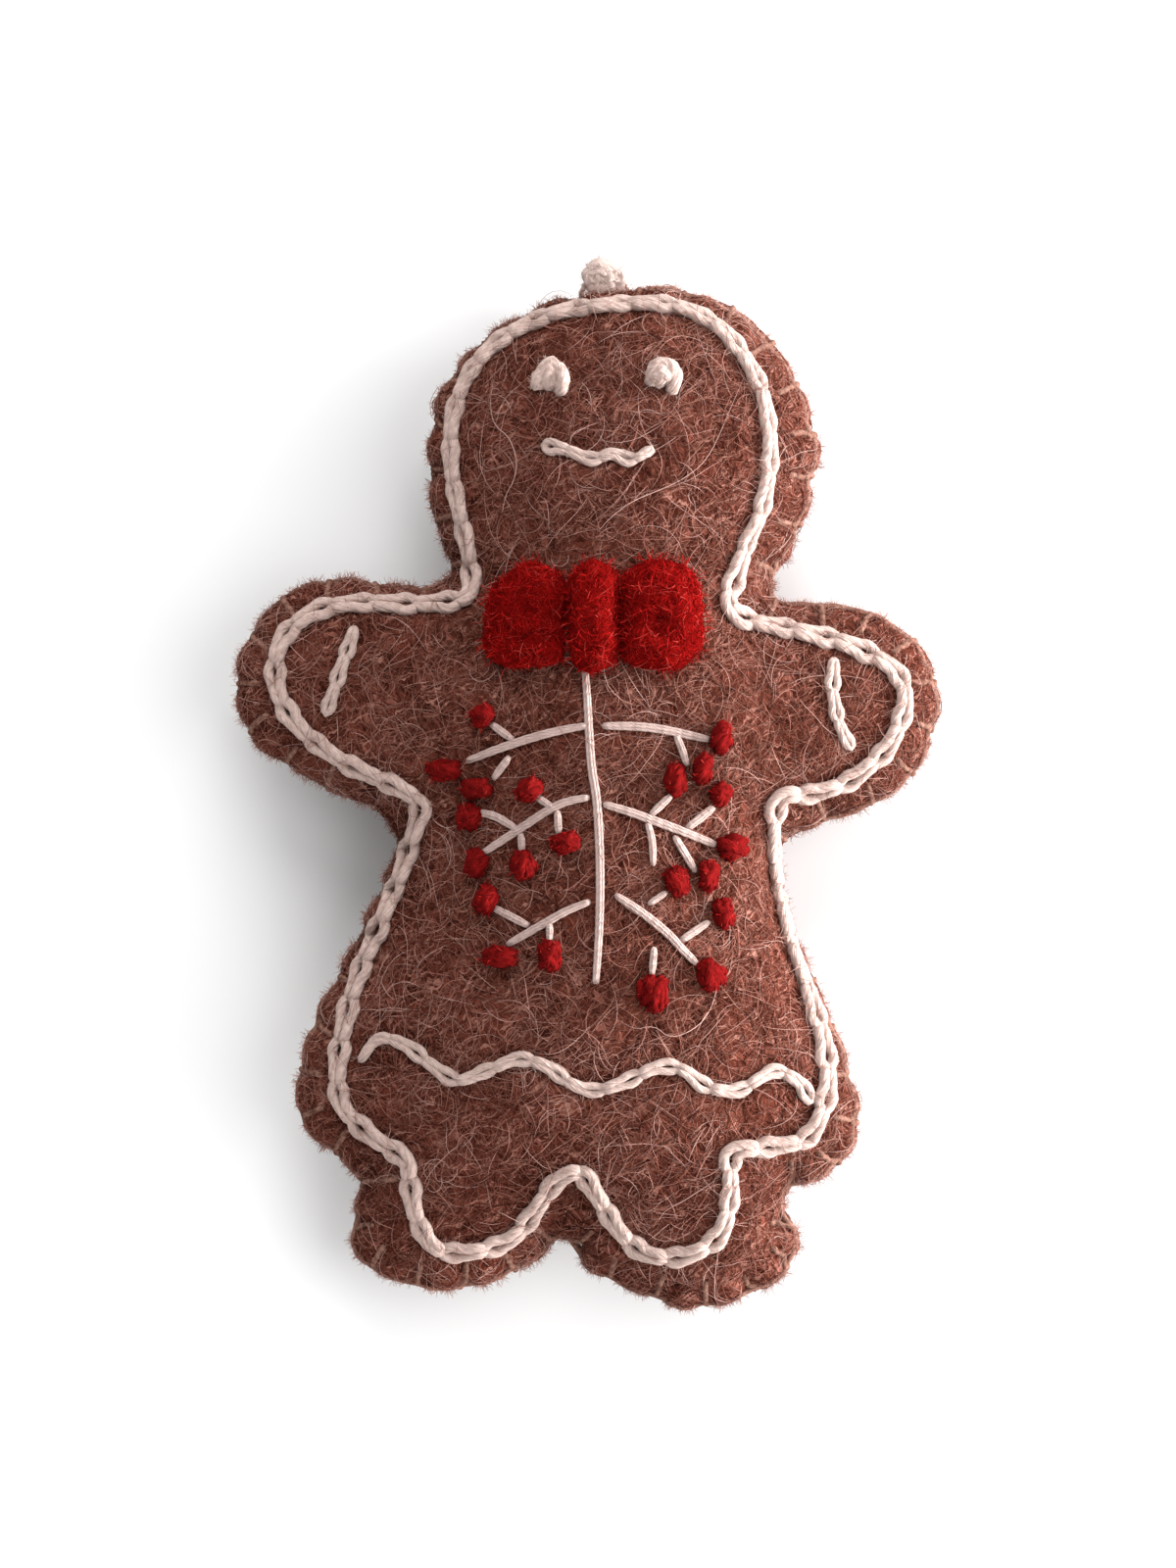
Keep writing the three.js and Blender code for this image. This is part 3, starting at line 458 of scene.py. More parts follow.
def shaped_felt(corner):
    """Moves a corner of the blown skin as the rim's stitches and the embroidery draw it in."""
    plan = Vector((corner.x, corner.y, 0))
    _, i, from_rim = rim_tree.find(plan)
    along = i * RIM_STEP - HANGER_MARGIN
    phase = math.cos(2 * math.pi * along / stitch_pitch)
    sewn = (0.5 + 0.5 * phase) ** 2 * stitch_pull[round(along / stitch_pitch) % len(stitch_pull)]
    near = math.exp(-((from_rim / PINCH_REACH) ** 2))
    out = rim_outwards(i)
    ragged = RAGGED_DEPTH * noise.noise(corner / RAGGED_SIZE)
    # The rim is cut closer along the tops and on the right, most of all at the waist
    from_middle = (plan - pattern_middle) / MM
    at_waist = math.exp(-(((from_middle.y + 15) / 12) ** 2))
    trim = max(0, out.x) * (0.3 + 0.45 * at_waist) * MM + max(0, out.y) * 0.25 * MM
    corner = corner + out * near * (RIM_SWELL - trim - PINCH * sewn + ragged)
    height = corner.z - seam
    if from_rim < 1.6 * MM:
        between = max(0, 1 - abs(height) / (1.1 * MM))
        corner -= out * EDGE_GROOVE * between ** 2
    dip = near * sewn * 0.3 * MM
    if height > 0:
        from_thread = drawn_in.find(plan)[2]
        dip += THREAD_DIP * math.exp(-((from_thread / THREAD_REACH) ** 2))
        corner.z -= dip * min(1, height / (2 * MM))
    else:
        corner += out * BACK_REACH * max(0, out.x) * near
        corner.z += dip * min(1, -height / (2 * MM))
    return corner


for corner in felt_bag.data.vertices:
    corner.co = shaped_felt(corner.co.copy())
felt_bag.data.update()

# Fibres drawn over the felt's browns: their course in degrees, width in millimetres and tone
DRAWN_FIBRES = [
    (10, 0.16, (0.03, 0.0066, 0.0042)), (100, 0.13, (0.15, 0.042, 0.0275)), (55, 0.12, (0.2, 0.07, 0.05)),
    (150, 0.1, (0.3, 0.135, 0.102)),
]


def felt_finish(name):
    """Finish of wool felt: browns mottled at two sizes, the smaller also forming the bump's pits and
    darkening them as painted shade, with fine matted fibres drawn over them.
    """
    material, nodes, links, shader = new_finish(name, 1, 0.02)
    place = nodes.new("ShaderNodeTexCoord")
    patches = noise_node(nodes, 5 * MM, 4)
    shaded_pits = noise_node(nodes, 0.7 * MM, 4, 0.7)
    both = nodes.new("ShaderNodeMix")
    both.inputs["Factor"].default_value = 0.42
    tones = tone_ramp(nodes, [(0.36, (0.017, 0.0038, 0.0023)), (0.64, (0.132, 0.035, 0.0222))])
    wander = noise_node(nodes, 1.9 * MM, 2)
    bent = nodes.new("ShaderNodeVectorMath")
    bent.operation = "MULTIPLY_ADD"
    bent.inputs[1].default_value = (2.5 * MM, 2.5 * MM, 2.5 * MM)
    bump = nodes.new("ShaderNodeBump")
    bump.inputs["Strength"].default_value = 1
    bump.inputs["Distance"].default_value = 0.35 * MM
    links.new(place.outputs["Object"], patches.inputs["Vector"])
    links.new(place.outputs["Object"], shaded_pits.inputs["Vector"])
    # the pits' noise also darkens the colour: painted shade in the felt's pits
    links.new(patches.outputs["Fac"], both.inputs[2])
    links.new(shaded_pits.outputs["Fac"], both.inputs[3])
    links.new(both.outputs[0], tones.inputs["Fac"])
    links.new(place.outputs["Object"], wander.inputs["Vector"])
    links.new(wander.outputs["Color"], bent.inputs[0])
    links.new(place.outputs["Object"], bent.inputs[2])
    colour = tones.outputs["Color"]
    height = shaded_pits.outputs["Fac"]
    for turn, width, tone in DRAWN_FIBRES:
        turned = nodes.new("ShaderNodeVectorRotate")
        turned.rotation_type = "Z_AXIS"
        turned.inputs["Angle"].default_value = math.radians(turn)
        drawn = nodes.new("ShaderNodeVectorMath")
        drawn.operation = "MULTIPLY"
        drawn.inputs[1].default_value = (1 / (1.4 * MM), 1 / (width * MM), 1 / (0.8 * MM))
        fibre = noise_node(nodes, 2, 1)
        shows = nodes.new("ShaderNodeMapRange")
        shows.inputs["From Min"].default_value = 0.56
        shows.inputs["From Max"].default_value = 0.66
        over = nodes.new("ShaderNodeMix")
        over.data_type = "RGBA"
        over.inputs[7].default_value = (*tone, 1)
        stacked = nodes.new("ShaderNodeMath")
        stacked.operation = "MULTIPLY_ADD"
        stacked.inputs[1].default_value = 0.25
        links.new(bent.outputs["Vector"], turned.inputs["Vector"])
        links.new(turned.outputs["Vector"], drawn.inputs[0])
        links.new(drawn.outputs["Vector"], fibre.inputs["Vector"])
        links.new(fibre.outputs["Fac"], shows.inputs["Value"])
        links.new(shows.outputs["Result"], over.inputs["Factor"])
        links.new(colour, over.inputs[6])
        links.new(shows.outputs["Result"], stacked.inputs[0])
        links.new(height, stacked.inputs[2])
        colour = over.outputs[2]
        height = stacked.outputs["Value"]
    links.new(colour, shader.inputs["Base Color"])
    links.new(height, bump.inputs["Height"])
    links.new(bump.outputs["Normal"], shader.inputs["Normal"])
    return material


felt_brown = felt_finish("brown_felt")


def tree_over(mesh):
    """A lookup of the nearest place on a mesh."""
    return BVHTree.FromPolygons(
        [corner.co for corner in mesh.vertices], [face.vertices for face in mesh.polygons],
    )


def felt_panel(name, node, keep_upper):
    """Half of the blown skin, given the felt's thickness."""
    shape = bmesh.new()
    shape.from_mesh(felt_bag.data)
    parts = [*shape.verts, *shape.edges, *shape.faces]
    cut = Vector((0, 0, seam))
    bmesh.ops.bisect_plane(
        shape, geom=parts, plane_co=cut, plane_no=(0, 0, 1), clear_inner=keep_upper,
        clear_outer=not keep_upper,
    )
    mesh = bpy.data.meshes.new(name)
    shape.to_mesh(mesh)
    shape.free()
    mesh.shade_smooth()
    outside = tree_over(mesh)
    places = np.array([tuple(face.center) for face in mesh.polygons])
    normals = np.array([tuple(face.normal) for face in mesh.polygons])
    areas = np.array([face.area for face in mesh.polygons])
    panel = bpy.data.objects.new(name, mesh)
    bpy.context.scene.collection.objects.link(panel)
    thick = panel.modifiers.new("thick", "SOLIDIFY")
    thick.thickness = FELT
    thick.offset = -1
    apply_modifiers(panel)
    panel.data.materials.append(felt_brown)
    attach(panel, "ornament")
    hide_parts(node)
    return outside, places, normals, areas


front_skin = felt_panel("front_felt", "front_panel", True)
back_skin = felt_panel("back_felt", "back_panel", False)
bpy.data.objects.remove(felt_bag)

# Fibres of the felt: wool hairs that lie curled over both panels or stand off from them, and fray at the rim.
# Each is a thin tapered thread, dark at its root, in one of the felt's browns.
FIBRE_POINTS = 5


def fibre_finish(name, tones):
    """Finish of loose fibres: their tone runs across the fibres' own map, and darkens towards the root."""
    material, nodes, links, shader = new_finish(name, 0.95, 0.02)
    place = nodes.new("ShaderNodeUVMap")
    place.uv_map = "OFBake"
    split = nodes.new("ShaderNodeSeparateXYZ")
    ramp = tone_ramp(nodes, [(i / (len(tones) - 1), tone) for i, tone in enumerate(tones)])
    root = nodes.new("ShaderNodeMapRange")
    root.inputs["To Min"].default_value = 0.6
    root.inputs["To Max"].default_value = 1.1
    darker = nodes.new("ShaderNodeMix")
    darker.data_type = "RGBA"
    darker.blend_type = "MULTIPLY"
    darker.inputs["Factor"].default_value = 1
    links.new(place.outputs["UV"], split.inputs["Vector"])
    links.new(split.outputs["Y"], ramp.inputs["Fac"])
    links.new(split.outputs["X"], root.inputs["Value"])
    links.new(ramp.outputs["Color"], darker.inputs[6])
    links.new(root.outputs["Result"], darker.inputs[7])
    links.new(darker.outputs[2], shader.inputs["Base Color"])
    return material


def loose_fibres(name, lines, tints, width, finish):
    """A mesh of three-sided fibres along lines with as many points each, their tint across their own map."""
    hairs = swept_curve(name, width, plies=1, groove=0, sides=3)
    for line in lines:
        spline = hairs.splines.new("POLY")
        spline.points.add(len(line) - 1)
        for k, (point, place) in enumerate(zip(spline.points, line)):
            point.co = (place.x, place.y, max(place.z, width), 1)
            point.radius = 0.3 + 0.7 * math.sin(math.pi * (k + 0.5) / len(line))
    piece = mesh_object(name, hairs)
    fibre_map = piece.data.uv_layers[0]
    fibre_map.name = "OFBake"
    loops = len(fibre_map.data) // len(lines)
    spread = np.empty(2 * len(fibre_map.data))
    fibre_map.data.foreach_get("uv", spread)
    spread[1::2] = np.repeat(tints, loops)
    fibre_map.data.foreach_set("uv", spread)
    piece.data.materials.append(finish)
    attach(piece, "ornament")
    return piece


def lying_fibre(skin, start, normal, length, curl, rise, chance, points=FIBRE_POINTS):
    """A fibre that curls along a skin from a start and rises off it between its ends."""
    step = length / (points - 1)
    heading = Vector((chance.gauss(0, 1), chance.gauss(0, 1), chance.gauss(0, 1)))
    heading = (heading - normal * heading.dot(normal)).normalized()
    turn = chance.gauss(0, curl)
    place = start.copy()
    line = []
    for i in range(points):
        share = i / (points - 1)
        near, normal, _, _ = skin.find_nearest(place)
        point = near + normal * (rise * math.sin(math.pi * share * 0.85) - 0.03 * MM)
        if line and (point - line[-1]).length < 0.2 * step:
            point = line[-1] + heading * 0.5 * step
        line.append(point)
        side = normal.cross(heading)
        heading = heading * math.cos(turn) + side * math.sin(turn)
        heading = (heading - normal * heading.dot(normal)).normalized()
        turn += chance.gauss(0, 0.5 / (points - 1))
        place = near + heading * step
    return line


def felt_fibres(name, skin, count, seed, length, width, rise, tone_range, points=FIBRE_POINTS):
    """Fibres strewn over a panel in clumps, with darker and lighter patches."""
    outside, places, normals, areas = skin
    chance = random.Random(seed)
    clumps = [max(0.2, 0.7 + 1.2 * noise.noise(Vector(place) / (2.4 * MM))) for place in places]
    weights = areas * np.array(clumps)
    picks = np.random.default_rng(seed).choice(len(places), count, p=weights / weights.sum())
    lines = []
    tints = []
    for pick in picks:
        start = Vector(places[pick])
        normal = Vector(normals[pick])
        span = length * math.exp(chance.gauss(0, 0.35))
        lift = rise * abs(chance.gauss(0, 1))
        lines.append(lying_fibre(outside, start, normal, span, 1.2 / (points - 1), lift, chance, points))
        tint = chance.uniform(*tone_range) + 0.3 * noise.noise(start / (6 * MM))
        tints.append(min(max(tint, 0), 1))
    piece = loose_fibres(name, lines, tints, width, felt_hair)


FELT_TONES = [
    (0.036, 0.008, 0.0048), (0.108, 0.0285, 0.018), (0.206, 0.0725, 0.0505), (0.345, 0.163, 0.127),
    (0.58, 0.37, 0.325),
]
felt_hair = fibre_finish("felt_hair", FELT_TONES)
# How many there are, their seed, length, width and rise, their range of tones and their points
felt_fibres("front_fibres_dark", front_skin, 4700, 11, 2.4 * MM, 0.11 * MM, 0.08 * MM, (0, 0.4))
felt_fibres("front_fibres_mid_1", front_skin, 7500, 12, 2.2 * MM, 0.078 * MM, 0.14 * MM, (0.15, 0.6))
felt_fibres("front_fibres_mid_2", front_skin, 5400, 17, 3.2 * MM, 0.066 * MM, 0.2 * MM, (0.2, 0.68), 7)
felt_fibres("front_fibres_lit", front_skin, 4500, 13, 3.8 * MM, 0.06 * MM, 0.28 * MM, (0.42, 0.88), 8)
felt_fibres("front_fibres_pale", front_skin, 1100, 14, 5 * MM, 0.056 * MM, 0.35 * MM, (0.7, 1), 9)
felt_fibres("back_fibres_mid", back_skin, 4500, 15, 2.6 * MM, 0.13 * MM, 0.12 * MM, (0.1, 0.6))
felt_fibres("back_fibres_lit", back_skin, 2500, 16, 2.8 * MM, 0.1 * MM, 0.2 * MM, (0.4, 0.9))


def standing_fibre(start, heading, length, curl, chance):
    """A fibre that stands off in a heading, and curls."""
    step = length / (FIBRE_POINTS - 1)
    heading = heading.normalized()
    bend = Vector((chance.gauss(0, curl), chance.gauss(0, curl), chance.gauss(0, curl)))
    place = start - heading * 0.3 * MM
    line = []
    for _ in range(FIBRE_POINTS):
        line.append(place.copy())
        heading = (heading + bend).normalized()
        place = place + heading * step
    return line


def rim_fibres(name, skin, count, seed, low, high):
    """Short fibres that fray from a panel's cut rim."""
    chance = random.Random(seed)
    lines = []
    for _ in range(count):
        i = chance.randrange(len(rim_line))
        out = rim_outwards(i)
        aim = rim_line[i] + out * 2 * MM
        aim.z = chance.uniform(low, high)
        start, normal, _, _ = skin[0].find_nearest(aim)
        lean = Vector((chance.gauss(0, 0.7), chance.gauss(0, 0.7), chance.gauss(0, 0.5)))
        length = chance.uniform(0.5, 1.4) * MM
        lines.append(standing_fibre(start, normal + lean, length, 0.22, chance))
    # the rim's fibres take only the lighter half of the felt's tones: painted light on the fuzz that catches
    # light at the cut edge
    tints = [chance.uniform(0.5, 1) for _ in lines]
    piece = loose_fibres(name, lines, tints, 0.052 * MM, felt_hair)


rim_fibres("front_rim_fibres", front_skin, 7000, 18, seam + 0.3 * MM, seam + 3 * MM)
rim_fibres("back_rim_fibres", back_skin, 3300, 19, seam - 3 * MM, seam - 0.3 * MM)

# Long pale hairs that lie across the face and the right foot, as places on the pattern in millimetres
LONG_HAIRS = [
    [(16, 42), (14.6, 38.6), (12.2, 33.4), (9.6, 31), (6.2, 29.4), (4.4, 28.6), (2.4, 27.1), (1.2, 25.8)],
    [
        (13.8, -38.9), (12.6, -40.4), (11.4, -41.2), (10.2, -42), (9.2, -42.6), (8.4, -43), (7.6, -43.6),
        (7.2, -44.3),
    ],
    [(-9.5, 41), (-9.8, 38.8), (-9.4, 36.6), (-8, 35.2), (-7.2, 33), (-7.4, 31), (-8.2, 29.4), (-8.6, 27.6)],
    [
        (3.2, -24), (4.8, -24.8), (6.6, -24.6), (8.2, -25.6), (10, -25.2), (11.6, -24), (12.6, -22.2),
        (13, -20.4),
    ],
]
ABOVE = 60 * MM  # a height over the whole ornament


def felt_top(place):
    """The front felt's place and slope over a place on the plan."""
    high = Vector((place.x, place.y, ABOVE))
    found, normal, _, _ = front_skin[0].ray_cast(high, Vector((0, 0, -1)))
    if found is None:
        found, normal, _, _ = front_skin[0].find_nearest(Vector((place.x, place.y, seam + 2 * MM)))
    return found, normal


hair_lines = []
for places in LONG_HAIRS:
    hair = []
    for place in smooth_line([on_pattern(*place) for place in places], 1 * MM):
        found, normal = felt_top(place)
        hair.append(found + normal * 0.3 * MM)
    hair = smooth_line(hair, 0.1 * MM)
    hair_lines.append([hair[round(k * (len(hair) - 1) / 24)] for k in range(25)])
long_hairs = loose_fibres("long_hairs", hair_lines, [1] * len(hair_lines), 0.09 * MM, felt_hair)

# Blanket stitch: tan wool thread that sews the panels together. Each stitch reaches in over both faces and
# goes round the rim, where the thread runs on to the next along the cut edges.
EDGE_THREAD = 0.75 * MM
STITCH_REACH = 2.4 * MM
# Along one stitch: share of its reach in from the rim, height from the seam in millimetres, and how far the
# thread's middle lies off the felt, in its own width
STITCH_TURN = [
    (1.05, 2, -1), (1, 2, -0.1), (0.7, 2, 0), (0.3, 2, 0), (-0.2, 1.6, 0.05), (-0.3, 0.4, 0.1),
    (-0.3, -0.4, 0.1), (-0.2, -1.6, 0.05), (0.3, -2, 0), (0.7, -2, 0), (1, -2, -0.1), (1.05, -2, -1),
]
outline_tree = tree_of(chain_lines["outline"])
edge_lines = []
edge_chance = random.Random(31)
for k in range(stitch_count + 1):
    i = round((HANGER_MARGIN + k * stitch_pitch) / RIM_STEP) % len(rim_line)
    out = rim_outwards(i)
    lean = Vector((-out.y, out.x, 0)) * edge_chance.uniform(-0.25, 0.25)
    room = outline_tree.find(rim_line[i])[2] - 0.5 * MM
    reach = min(STITCH_REACH * edge_chance.uniform(0.85, 1.1), max(room, 0.5 * MM))
    stitch = []
    for inward, rise, sink in STITCH_TURN:
        panel = front_skin if rise > 0 else back_skin
        side = 1 if rise > 0 else -1
        aim = rim_line[i] - (out + lean) * inward * reach
        found = None
        if inward > 0.4:
            aim.z = seam + side * 30 * MM
            found = panel[0].ray_cast(aim, Vector((0, 0, -side)))[0]
        aim.z = seam + rise * MM
        near, normal, _, _ = panel[0].find_nearest(found or aim)
        if sink < -0.5:
            normal = Vector((0, 0, side))
        place = near + normal * sink * EDGE_THREAD
        place.z = max(place.z, EDGE_THREAD / 2)
        stitch.append(place)
    edge_lines.append(smooth_line(stitch, 0.4 * MM))
rail = []
rail_first = round(HANGER_MARGIN / RIM_STEP)
for i in range(rail_first, len(rim_line) - rail_first, 4):
    aim = rim_line[i] + rim_outwards(i) * 0.7 * MM
    aim.z = seam + 1.2 * MM
    found, normal, _, _ = front_skin[0].find_nearest(aim)
    rail.append(found - normal * 0.05 * EDGE_THREAD)
edge_lines.append(smooth_line(rail, 0.5 * MM))
edge_stitching = twisted_yarn(
    "edge_stitching_thread", edge_lines, EDGE_THREAD, plies=2, lay=1.8 * MM, groove=0.22,
)
# its shade and lit tones are painted shade and light on the tan thread
edge_tan = thread_finish("tan_thread", (0.12, 0.054, 0.039), (0.275, 0.143, 0.108), 0.5 * MM, 1, 0)
edge_stitching.data.materials.append(edge_tan)
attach(edge_stitching, "ornament")
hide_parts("edge_stitching")

# Chain stitch: cream cotton yarn worked in looped links, one out of the tip of the last. One chain runs round
# the whole front inside the rim, and shorter ones make the mouth, the cuffs and the wavy hem.
OUTLINE_YARN = 1.17 * MM
OUTLINE_LINK = 4.3 * MM
OUTLINE_SPREAD = 0.36 * MM
LINE_YARN = 0.86 * MM
LINE_SPREAD = 0.27 * MM
LINE_LINKS = {"mouth": 2.8 * MM, "left_cuff": 2.8 * MM, "right_cuff": 2.6 * MM, "hem": 4 * MM}
# Spread of each line's first and last link, as a share of the others'
LINE_ENDS = {"mouth": (1.05, 0.4), "left_cuff": (1, 0.9), "right_cuff": (1, 0.8), "hem": (0.5, 1)}
# Each of the mouth's links from its start to its tip, as shares of the mouth's length
MOUTH_LINKS = [(0.21, 0.01), (0.18, 0.5), (0.5, 0.83), (0.83, 1)]
# Half of a link: share of its length, share of its spread, and height above the felt in yarn widths
LINK_HALF = [
    (0, 0.2, -0.6), (0.04, 0.45, 0.1), (0.1, 0.7, 0.48), (0.18, 0.88, 0.6), (0.32, 0.95, 0.5),
    (0.48, 1.02, 0.42), (0.6, 1.3, 0.36), (0.72, 1.72, 0.32), (0.84, 1.7, 0.3), (0.95, 1.3, 0.27),
    (1.03, 0.7, 0.24),
]
LINK_TIP = (1.08, 0, 0.22)


def on_felt(place, rise):
    """A point at some height off the front felt that keeps its place on the plan."""
    foot = place
    for _ in range(3):
        found, normal = felt_top(foot)
        normal = (normal + Vector((0, 0, 0.35))).normalized()
        foot = place - Vector((normal.x, normal.y, 0)) * rise
    return found + normal * rise


def chain_links(line, closed, link, spread, yarn, seed, ends=(1, 1), spans=None):
    """The yarn's line through each link of a chain along a line on the plan."""
    chance = random.Random(seed)
    points = line + line[:1] if closed else line
    steps = [(ahead - here).length for here, ahead in zip(points, points[1:])]
    total = sum(steps)
    count = max(1, round(total / link))
    along = np.concatenate(([0], np.cumsum(steps)))
    xs = [point.x for point in points]
    ys = [point.y for point in points]

    def plan(distance):
        distance = distance % total if closed else distance
        inside = min(max(distance, 0), total)
        place = Vector((np.interp(inside, along, xs), np.interp(inside, along, ys), 0))
        ahead = min(inside + 0.3 * MM, total)
        behind = max(inside - 0.3 * MM, 0)
        heading = Vector((
            np.interp(ahead, along, xs) - np.interp(behind, along, xs),
            np.interp(ahead, along, ys) - np.interp(behind, along, ys), 0,
        )).normalized()
        return place + heading * (distance - inside), Vector((-heading.y, heading.x, 0))

    spans = spans or [(k / count, (k + 1) / count) for k in range(count)]
    around = [(*stop, 1) for stop in LINK_HALF]
    around.append((*LINK_TIP, 0))
    around += [(*stop, -1) for stop in reversed(LINK_HALF)]
    links = []
    for k, (start, end) in enumerate(spans):
        middle = (plan((start + end) / 2 * total)[0] - pattern_middle) / MM
        on_head = middle.y > 22
        at_waist = middle.x > 15 and -22 < middle.y < -3
        slim = 0.7 if on_head else 0.35 if at_waist else 1
        reach = spread * chance.uniform(0.88, 1.12) * (slim if closed else 1)
        if k == 0:
            reach *= ends[0]
        if k == len(spans) - 1:
            reach *= ends[1]
        lean = chance.uniform(-0.18, 0.18) * spread
        places = []
        for share, out, rise, side in around:
            place, left = plan((start + share * (end - start)) * total)
            place += left * (side * out * reach + lean * math.sin(math.pi * min(max(share, 0), 1)))
            places.append(on_felt(place, rise * yarn))
        links.append(smooth_line(places, 0.42 * MM))
    return links


# its shade and lit tones are painted shade and light: grooves between the strands darker, ridges lighter
cream_yarn = thread_finish("cream_yarn", (0.3, 0.208, 0.179), (0.5, 0.375, 0.335), 0.5 * MM, 0.95, 0, (9, 18))


def chain_stitch(name, node, line, closed, link, spread, yarn, seed, ends=(1, 1), spans=None):
    """A chain of looped links laid on the front."""
    links = chain_links(line, closed, link, spread, yarn, seed, ends, spans)
    piece = twisted_yarn(name, links, yarn, plies=5, lay=7 * MM, groove=0.12)
    piece.data.materials.append(cream_yarn)
    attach(piece, "ornament")
    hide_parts(node)


chain_stitch(
    "outline_chain_yarn", "outline_chain", chain_lines["outline"], True, OUTLINE_LINK, OUTLINE_SPREAD,
    OUTLINE_YARN, 21,
)
for seed, (node, link) in enumerate(LINE_LINKS.items(), 22):
    spans = MOUTH_LINKS if node == "mouth" else None
    ends = LINE_ENDS[node]
    chain_stitch(
        node + "_yarn", node, chain_lines[node], False, link, LINE_SPREAD, LINE_YARN, seed, ends, spans,
    )


def fuzz_of(piece, count, chance, lean, length, curl, hold=1):
    """Lines of fibres that stand off a piece, leaning along and across the plan and upright."""
    lines = []
    for corner in chance.sample(list(piece.data.vertices), count):
        aside = Vector((chance.gauss(0, lean[0]), chance.gauss(0, lean[0]), chance.gauss(0, lean[1])))
        span = chance.uniform(*length) * MM
        lines.append(standing_fibre(corner.co, corner.normal * hold + aside, span, curl, chance))
    return lines


# Fuzz of the yarn, and felt hairs caught over the outline's chain
chance = random.Random(27)
cream_fuzz = []
CHAIN_FUZZ = {
    "outline_chain_yarn": 2200, "hem_yarn": 420, "mouth_yarn": 90, "left_cuff_yarn": 80,
    "right_cuff_yarn": 80,
}
for name, count in CHAIN_FUZZ.items():
    cream_fuzz += fuzz_of(bpy.data.objects[name], count, chance, (1, 0.5), (0.4, 1.1), 0.3, 0.8)
cream_hair = fibre_finish("cream_hair", [(0.34, 0.245, 0.21), (0.52, 0.4, 0.355)])
cream_tints = [chance.random() for _ in cream_fuzz]
chain_fibres = loose_fibres("chain_fibres", cream_fuzz, cream_tints, 0.05 * MM, cream_hair)
caught = []
for _ in range(420):
    k = chance.randrange(len(chain_lines["outline"]))
    place = chain_lines["outline"][k]
    turn = chance.uniform(0, 2 * math.pi)
    half = chance.uniform(1, 2.2) * MM
    aside = Vector((chance.gauss(0, 0.5), chance.gauss(0, 0.5), 0)) * MM
    line = []
    for step in range(FIBRE_POINTS):
        share = step / (FIBRE_POINTS - 1) * 2 - 1
        turn += chance.gauss(0, 0.15)
        spot = place + aside + Vector((math.cos(turn), math.sin(turn), 0)) * share * half
        line.append(on_felt(spot, (0.15 + 1.05 * (1 - share ** 2)) * MM))
    caught.append(line)
caught_tints = [chance.uniform(0.3, 1) for _ in caught]
caught_fibres = loose_fibres("caught_fibres", caught, caught_tints, 0.05 * MM, felt_hair)

# Eyes: two knots of the cream yarn, sewn on above the mouth. Each is a few turns over a small padding, drawn
# tight on the felt and roughened into one soft lump with fuzz.
EYE_YARN = 1.55 * MM
# Places along each turn on the pattern and their height off the felt, in millimetres
EYES = {
    "left_eye": [
        [
            (-3.9, 42.6, 0.2), (-3.5, 42.5, 0.9), (-2.9, 42, 1.05), (-2.6, 41.2, 1), (-2.7, 40.5, 0.7),
            (-2.9, 40, -0.2),
        ],
        [(-3.6, 42.9, 0.1), (-4.2, 42.4, 0.8), (-4.8, 41.7, 0.9), (-5.15, 41, 0.7), (-5, 40.3, 0.2)],
        [(-3.7, 42.6, 0.7), (-3.8, 41.9, 1.2), (-4, 41.4, 1.1), (-4.2, 41, 0.3)],
    ],
    "right_eye": [
        [
            (6.5, 40.9, 0), (6.55, 41.8, 0.8), (7.1, 42.6, 0.95), (7.9, 42.7, 1), (8.6, 42.1, 0.95),
            (8.85, 41.3, 0.9), (8.75, 40.6, 0.6), (8.5, 40.1, -0.2),
        ],
        [(6.7, 41.2, 0.4), (7.2, 41.6, 1.15), (7.8, 41.6, 1.2), (8.2, 41.2, 0.6)],
        [(7.4, 42.5, 0.6), (7.5, 41.9, 1.2), (7.4, 41.3, 1), (7.2, 40.9, 0.2)],
    ],
}
# How far up from the last turn's middle each eye's padding sits, its half width and height, and its rise
EYE_CORES = {"left_eye": (-0.15, 1.5, 1.65, 1.9 * MM), "right_eye": (0.3, 1.4, 1.4, 1.85 * MM)}


def add_core(piece, middle, half_width, half_height, rise):
    """Joins the padding under a knot's turns to its yarn."""
    shape = bmesh.new()
    shape.from_mesh(piece.data)
    core = bmesh.ops.create_icosphere(shape, subdivisions=3, radius=1)["verts"]
    bmesh.ops.scale(shape, vec=(half_width * MM, half_height * MM, rise), verts=core)
    bmesh.ops.translate(shape, vec=middle, verts=core)
    for face in shape.faces:
        face.smooth = True
    shape.to_mesh(piece.data)
    shape.free()


def roughen(piece, size, depth):
    """Moves a piece's skin in and out in lumps of some size."""
    normals = [corner.normal.copy() for corner in piece.data.vertices]
    for corner, normal in zip(piece.data.vertices, normals):
        corner.co += normal * depth * noise.noise(corner.co / size)
    piece.data.update()


